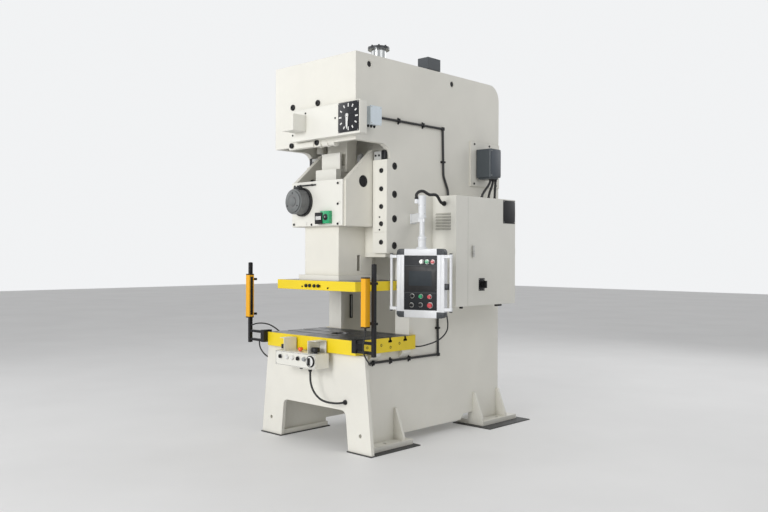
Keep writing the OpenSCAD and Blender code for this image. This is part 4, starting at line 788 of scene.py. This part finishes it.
def dressPanel():
    place = Matrix.Translation((*panel["pipe"], 0)) @ Matrix.Rotation(math.radians(panel["turn"]), 4, "Z")
    front, top, low = panel["front"], panel["top"], panel["low"]
    cap, face, plastic, seam = 1, 2, 3, 4
    body = Piece("panelTrim", "pendant", "aluminium", paleRail, darkGrey, faceGlass, blackPlastic, seamGrey)
    body.turn = place
    faceLow, faceTop = top - panel["faceLow"], top - panel["faceTop"]
    body.block((-0.144, front - 0.0014, faceLow), (0.146, front + 0.003, faceTop), 0.0012, face)
    for down in panel["seams"]:                   # between the face's sections
        body.block((-0.143, front - 0.0018, top - down - 0.001), (0.145, front - 0.0012, top - down + 0.001),
                   0.0002, seam)
    for z0, z1 in ((low + 0.002, faceLow), (faceTop, top - 0.002)):      # cross rails
        body.block((-0.148, front - 0.0022, z0), (0.15, front + 0.003, z1), 0.002)
    for x0, x1 in ((-0.208, -0.144), (0.146, 0.208)):                    # upright rails with a groove
        middle = (x0 + x1) / 2
        body.block((x0, front - 0.0022, low + 0.046), (middle - 0.001, front + 0.003, top - 0.046), 0.0018)
        body.block((middle + 0.001, front - 0.0026, low + 0.046), (x1, front + 0.003, top - 0.046), 0.0018)
    out, r, hold = 0.2112, 0.031, panel["handle"]
    for way in (-1, 1):                                                  # moulded corner caps
        for z0, z1 in ((low - 0.0008, low + 0.05), (top - 0.05, top + 0.0008)):
            up = 1 if z0 > 1.3 else -1
            rim, inner = (z1, z0) if up > 0 else (z0, z1)
            bend = [(out - r + r * math.cos(t), rim - up * r + up * r * math.sin(t))
                    for t in [math.pi / 16 * k for k in range(9)]]
            body.slab([(way * a, b) for a, b in [(0.142, rim), (0.142, inner), (out, inner)] + bend],
                      front - 0.0034, 0.0668, "xz", 0.004, cap)
        for z in (low + 0.06, top - 0.074):                             # handle's end blocks
            body.turned((way * hold, -0.024, z - 0.002), upward, [
                (0.0118, 0), (0.015, 0.002), (0.015, 0.026), (0.0118, 0.028)], 24)
        for z in (low + 0.049, top - 0.046):
            body.turned((way * hold, -0.024, z), upward, [
                (0.0095, 0), (0.0125, 0.002), (0.0125, 0.008), (0.0095, 0.01)], 20, cap)
        for z in (low + 0.024, top - 0.024):
            body.socketScrew((way * 0.182, front - 0.003, z), toFront, 0.004, plastic, 0.4)
    body.block((0.2095, -0.034, 1.3), (0.244, -0.004, 1.35), 0.004, plastic)
    body.block((0.215, -0.036, 1.312), (0.238, -0.0335, 1.338), 0.001, cap)
    body.done()
    screen = Piece("panelScreen", "pendant", "black_plastic", blackPlastic, screenGlass)
    screen.turn = place
    screen.block((-0.1355, front - 0.0052, 1.2875), (0.1385, front - 0.002, 1.4885), 0.003)
    screen.block((-0.1, front - 0.0056, 1.33), (0.101, front - 0.0048, 1.449), 0.0003, 1)
    screen.done()
    rings = Piece("panelRings", "pendant", "steel", zincScrew, greenButton, redButton, blackPlastic)
    rings.turn = place
    for across, down, look in panel["spots"]:
        x, z = across / 1000, top - down / 1000
        bore = 0.0206 if (across, down) == panel["estop"] else 0.0156
        wide = bore + 0.0038
        if look is None:
            openRing(rings, (x, front - 0.0008, z), toFront, wide, 0.0015, bore, 32)
            continue
        rings.turned((x, front - 0.0008, z), toFront, [
            (wide + 0.001, 0), (wide + 0.001, 0.003), (wide - 0.001, 0.006), (0.0152, 0.006), (0.0152, 0.002)], 32)
        rings.turned((x, front - 0.013, z), toFront, [
            (0.0152, -0.008), (0.0152, 0.002), (0.013, 0.004), (0, 0.0042)], 32, look)
        if look == 3:                             # a selector's tongue
            rings.block((x - 0.004, front - 0.026, z - 0.013), (x + 0.004, front - 0.016, z + 0.013), 0.002, 3)
    rings.done()
    neck = Piece("panelNeck", "pendant", "aluminium", paleRail, zincScrew)
    px, py = panel["pipe"]
    neck.turned((px, py, 1.6295), upward, [
        (0.03, 0), (0.046, 0.0005), (0.046, 0.01), (0.042, 0.014), (0.0322, 0.016)], 48)
    neck.turned((px, py, 1.7), upward, [
        (0.0322, 0), (0.035, 0.004), (0.035, 0.026), (0.032, 0.03), (0.0235, 0.032), (0.0225, 0.04),
        (0.0212, 0.042)], 48)
    for angle in (20, 140, 260):
        c, s = math.cos(math.radians(angle)), math.sin(math.radians(angle))
        neck.socketScrew((px + 0.0342 * c, py + 0.0342 * s, 1.715), (c, s, 0), 0.0045, 1)
    neck.done()
    collar = Piece("armCollar", "frame", "aluminium", paleRail, zincScrew, blackPlastic)
    collar.turned((px, py, 1.8795), upward, [
        (0.0215, 0), (0.0325, 0.0005), (0.034, 0.003), (0.034, 0.02), (0.0312, 0.023)], 48)
    collar.turned((px, py, 2.045), upward, [
        (0.0311, 0), (0.032, 0.002), (0.032, 0.017), (0.03, 0.0203), (0.0215, 0.0206)], 48)
    for z, angle in product((1.915, 1.985), (-100, -10)):
        c, s = math.cos(math.radians(angle)), math.sin(math.radians(angle))
        collar.socketScrew((px + 0.0305 * c, py + 0.0305 * s, z), (c, s, 0), 0.0045, 1)
    for y, z in product((-0.388, -0.342), (1.858, 1.918)):
        collar.hexHead((0.5133, y, z), toRight, 0.0075, 1)
    gland(collar, (0.726, -0.574, 2.0345), upward, (0.0158, 0.0146, 0.0134), (0.006, 0.01, 0.016, 0.018), 2, 24)
    collar.done()


def displayGlass():
    finish = Finish("screenGlass")
    tint = finish.ramp(finish.noise(9, 3), (0.3, (0.026, 0.033, 0.04)), (0.7, (0.034, 0.042, 0.049)))
    return finish.done(finish.surface(Base_Color=tint, Roughness=0.5, Specular_IOR_Level=0.2,
                                      Normal=finish.bump(finish.noise(30, 2), 0.02, 0.0002)))


screenGlass = displayGlass()
faceGlass = moulded("faceGlass", (0.013, 0.015, 0.018), rough=0.4, grain=0.05, shine=0.25)
seamGrey = moulded("seamGrey", (0.1, 0.105, 0.11), rough=0.4)
dressPanel()
print("panel dressed")


station = {"front": -1.245, "low": 0.66, "rowZ": 0.074, "rotary": (0.196, 0.062), "deck": 0.7795, "palm": 0.19,
           "stop": -0.008, "gland": -1.17, "caps": [(-0.179, 1), (-0.097, 2), (-0.028, 2), (0.044, 1), (0.118, 3)],
           "seams": [(-0.2495, 0.7735, 0.2495, 0.7755), (-0.2495, 0.6645, 0.2495, 0.666),
                     (-0.2465, 0.664, -0.245, 0.776), (0.245, 0.664, 0.2465, 0.776)]}


def dressStation():
    front, deck, palm, back = station["front"], station["deck"], station["palm"], station["gland"]
    z = station["low"] + station["rowZ"]
    trim = Piece("stationTrim", "frame", "cream", zincScrew, blackPlastic, whiteButton, greyPlastic, creamSheet)
    for x, cap in station["caps"]:
        trim.turned((x, front, z), toFront, [(0.0195, 0), (0.0195, 0.0025), (0.0175, 0.005), (0.0162, 0.005)], 32)
        trim.turned((x, front - 0.0138, z), toFront, [
            (0.0163, -0.012), (0.0163, 0.002), (0.0145, 0.0045), (0.012, 0.005), (0, 0.0052)], 32, cap)
        if cap == 1:
            trim.block((x - 0.004, front - 0.026, z - 0.012), (x + 0.004, front - 0.018, z + 0.012), 0.002, 1)
    x, z = station["rotary"][0], station["low"] + station["rotary"][1]
    trim.turned((x, front - 0.0002, z), toFront, [
        (0.045, 0), (0.046, 0.001), (0.046, 0.011), (0.044, 0.013), (0.041, 0.013), (0.041, 0), (0.045, 0)], 48, 1)
    for x0, z0, x1, z1 in station["seams"]:       # dark seam round the front sheet
        trim.block((x0, front - 0.0006, z0), (x1, front + 0.002, z1), 0.0002, 1)
    for x in (-palm, palm):
        openRing(trim, (x, front + 0.056, deck), upward, 0.027, 0.002, 0.0165, 36, 3)
    openRing(trim, (station["stop"], front + 0.066, deck), upward, 0.026, 0.003, 0.012, 36)
    for x, z in product((-0.236, 0.236), (0.674, 0.766)):
        trim.socketScrew((x, front, z), toFront, 0.0045, 0, 0.4)
    trim.block((-0.2505, front - 0.001, 0.7785), (0.2505, -1.1005, 0.7805), 0.001, 4)
    for x, z, sides, profile in (                 # nuts under the box
            (0.104, 0.6425, 6, [(0.0175, 0), (0.0175, 0.008), (0.015, 0.01)]),
            (0.104, 0.633, 24, [(0.0135, 0), (0.0135, 0.008), (0.0095, 0.011)]),
            (-0.006, 0.6465, 6, [(0.0145, 0), (0.0145, 0.007), (0.0125, 0.009)])):
        trim.turned((x, back, z), downward, profile, sides, 1)
    gland(trim, (0.389, -1.0425, 0.394), toFront, (0.02, 0.0145, 0.0092), (0.008, 0.011, 0.02, 0.022), 1, 24)
    trim.done()
    for way, end in ((-1, "left"), (1, "right")):
        cap = Piece("palmCap" + end.title(), "palm_" + end, "black_plastic", blackPlastic)
        cap.turned((way * palm, front + 0.056, 0.794), upward, [
            (0.03, 0), (0.0345, 0.003), (0.0348, 0.026), (0.033, 0.031), (0.027, 0.0352), (0.015, 0.0372),
            (0, 0.0376)], 48)
        cap.done()
    stopCap = Piece("stationStopCap", "box_estop", "orange_plastic", orangeButton)
    stopCap.turned((station["stop"], front + 0.066, 0.792), upward, [
        (0.017, 0), (0.0205, 0.003), (0.0208, 0.014), (0.0185, 0.0205), (0.011, 0.0236), (0, 0.0244)], 40)
    stopCap.done()
    disc = Piece("rotaryDisc", "box_rotary", "white_plastic", whiteButton)   # pale disc round the tongue
    disc.turned((station["rotary"][0], front - 0.0138, station["low"] + station["rotary"][1]), toFront, [
        (0.0385, 0), (0.0385, 0.001), (0.0375, 0.0016), (0, 0.0016)], 48)
    disc.done()


dressStation()
print("station dressed")


curtain = {"x": 0.724, "y": -1.157, "window": (0.6993, 1.045, 1.382), "clampZ": (1.052, 1.36),
           "caps": [(1.0195, 1.03), (1.397, 1.4075)], "post": (0.773, -1.114, 1.5065), "boltZ": (0.825, 0.899)}


def dressCurtains():
    x, y = curtain["x"], curtain["y"]
    glass, low, high = curtain["window"]
    px, py, pz = curtain["post"]
    trim = Piece("curtainTrim", "frame", "black_steel", blackGloss, blackPlastic, zincScrew)
    for way in (-1, 1):
        a, b = sorted((way * glass, way * glass - way * 0.0009))
        trim.block((a, y - 0.014, low), (b, y + 0.014, high), 0.0003)
        for z0, z1 in curtain["caps"]:
            trim.block((way * x - 0.0255, y - 0.0255, z0), (way * x + 0.0255, y + 0.0255, z1), 0.002, 1)
        for z in curtain["clampZ"]:
            for dx in (0.716, 0.732):
                trim.socketScrew((way * dx, -1.0925, z), toBack, 0.005, 2)
            trim.socketScrew((way * 0.7945, -1.112, z), (way, 0, 0), 0.009, 1, 0.8)
            trim.socketScrew((way * 0.7065, -1.112, z), (-way, 0, 0), 0.009, 1, 0.8)
        for z in curtain["boltZ"]:
            trim.hexHead((way * 0.7865, py, z), (way, 0, 0), 0.007, 1)
        for dy, z in product((-1.12, -1.062), (0.828, 0.902)):
            trim.socketScrew((way * 0.597, dy, z), (way, 0, 0), 0.006, 1)
        trim.turned((way * px, py, pz), upward, [(0.0125, 0), (0.0125, 0.002), (0.01, 0.0035), (0, 0.0035)], 24, 1)
    gland(trim, (x, y, 1.0205), downward, (0.01, 0.008, 0.0062), (0.008, 0.01, 0.022, 0.024), 1)
    trim.done()


bolster = {"top": 0.8995, "screwX": (-0.475, 0.475), "screwY": (-1.05, -0.45), "side": 0.5508,
           "sideScrews": [(-0.799, 0.845), (-0.581, 0.846), (-0.69, 0.822), (-0.96, 0.838)]}


def dressBolster():
    trim = Piece("bolsterScrews", "frame", "black_steel", darkScrew)
    for x, y in product(bolster["screwX"], bolster["screwY"]):
        trim.turned((x, y, bolster["top"]), upward, [
            (0.02, 0), (0.02, 0.0018), (0.011, 0.0018), (0.01, 0.0005), (0, 0.0005)], 24)
    for y, z in bolster["sideScrews"]:
        trim.turned((bolster["side"], y, z), toRight, [
            (0.011, 0), (0.011, 0.0012), (0.007, 0.0012), (0.006, 0), (0, 0)], 20)
    trim.done()
    strip = Piece("throatStrip", "frame", "black_steel", blackPaint, greyPlastic)
    strip.block((-0.452, -0.19, 0.98), (-0.439, -0.16, 1.203), 0.002)
    strip.block((-0.4395, -0.186, 0.99), (-0.437, -0.172, 1.193), 0.001, 1)
    strip.done()


dressCurtains()
dressBolster()
print("curtains and bolster dressed")


studio = {"floor": (0.7, 0.74), "floorGlow": 0.1, "fill": 0.4, "backdrop": (0.93, 0.94, 0.95, 1),
          "backdropPower": 0.95, "aim": (0, -0.3, 1.4),
          "lamps": {"front": {"spot": (1.3, -10.0, 3.4), "size": 4.0, "power": 480},
                    "right": {"spot": (6.0, -1.0, 6.0), "size": 4.0, "power": 70},
                    "left": {"spot": (-5.5, -3.5, 4.5), "size": 4.0, "power": 60},
                    "rear": {"spot": (0.5, 6.5, 5.0), "size": 5.0, "power": 130}}}


def makeStudio():
    finish = Finish("studioFloor")
    shade = finish.ramp(finish.noise(0.7, 3), (0.3, studio["floor"][0]), (0.7, studio["floor"][1]))
    floor = finish.surface(Base_Color=shade, Roughness=0.6, Emission_Color=shade,
                           Emission_Strength=studio["floorGlow"],
                           Normal=finish.bump(finish.noise(60, 3), 0.05, 0.001))
    bpy.ops.mesh.primitive_plane_add(size=60)
    ground = bpy.context.object
    ground.name = "studioGround"
    ground.data.materials.append(finish.done(floor))
    world = bpy.data.worlds.new("studioWorld")
    bpy.context.scene.world = world
    world.use_nodes = True
    tree = world.node_tree
    tree.nodes.clear()
    rays = tree.nodes.new("ShaderNodeLightPath")
    lit, shown = tree.nodes.new("ShaderNodeBackground"), tree.nodes.new("ShaderNodeBackground")
    lit.inputs[0].default_value, lit.inputs[1].default_value = (1, 1, 1, 1), studio["fill"]
    shown.inputs[0].default_value, shown.inputs[1].default_value = studio["backdrop"], studio["backdropPower"]
    seen, seenThrough = tree.nodes.new("ShaderNodeMath"), tree.nodes.new("ShaderNodeMath")
    seen.operation = seenThrough.operation = "MAXIMUM"
    tree.links.new(rays.outputs["Is Camera Ray"], seen.inputs[0])
    tree.links.new(rays.outputs["Is Glossy Ray"], seen.inputs[1])
    tree.links.new(seen.outputs[0], seenThrough.inputs[0])
    tree.links.new(rays.outputs["Is Transmission Ray"], seenThrough.inputs[1])
    blend, output = tree.nodes.new("ShaderNodeMixShader"), tree.nodes.new("ShaderNodeOutputWorld")
    tree.links.new(seenThrough.outputs[0], blend.inputs[0])
    tree.links.new(lit.outputs[0], blend.inputs[1])
    tree.links.new(shown.outputs[0], blend.inputs[2])
    tree.links.new(blend.outputs[0], output.inputs[0])
    for name, lamp in studio["lamps"].items():
        light = bpy.data.lights.new(name, "AREA")
        light.energy, light.size = lamp["power"], lamp["size"]
        made = bpy.data.objects.new(name, light)
        made.location = lamp["spot"]
        made.rotation_euler = (Vector(studio["aim"]) - Vector(lamp["spot"])).to_track_quat("-Z", "Y").to_euler()
        bpy.context.scene.collection.objects.link(made)
    bpy.context.scene.view_settings.view_transform = "Standard"


makeStudio()
print("studio lit")

bpy.context.view_layer.update()
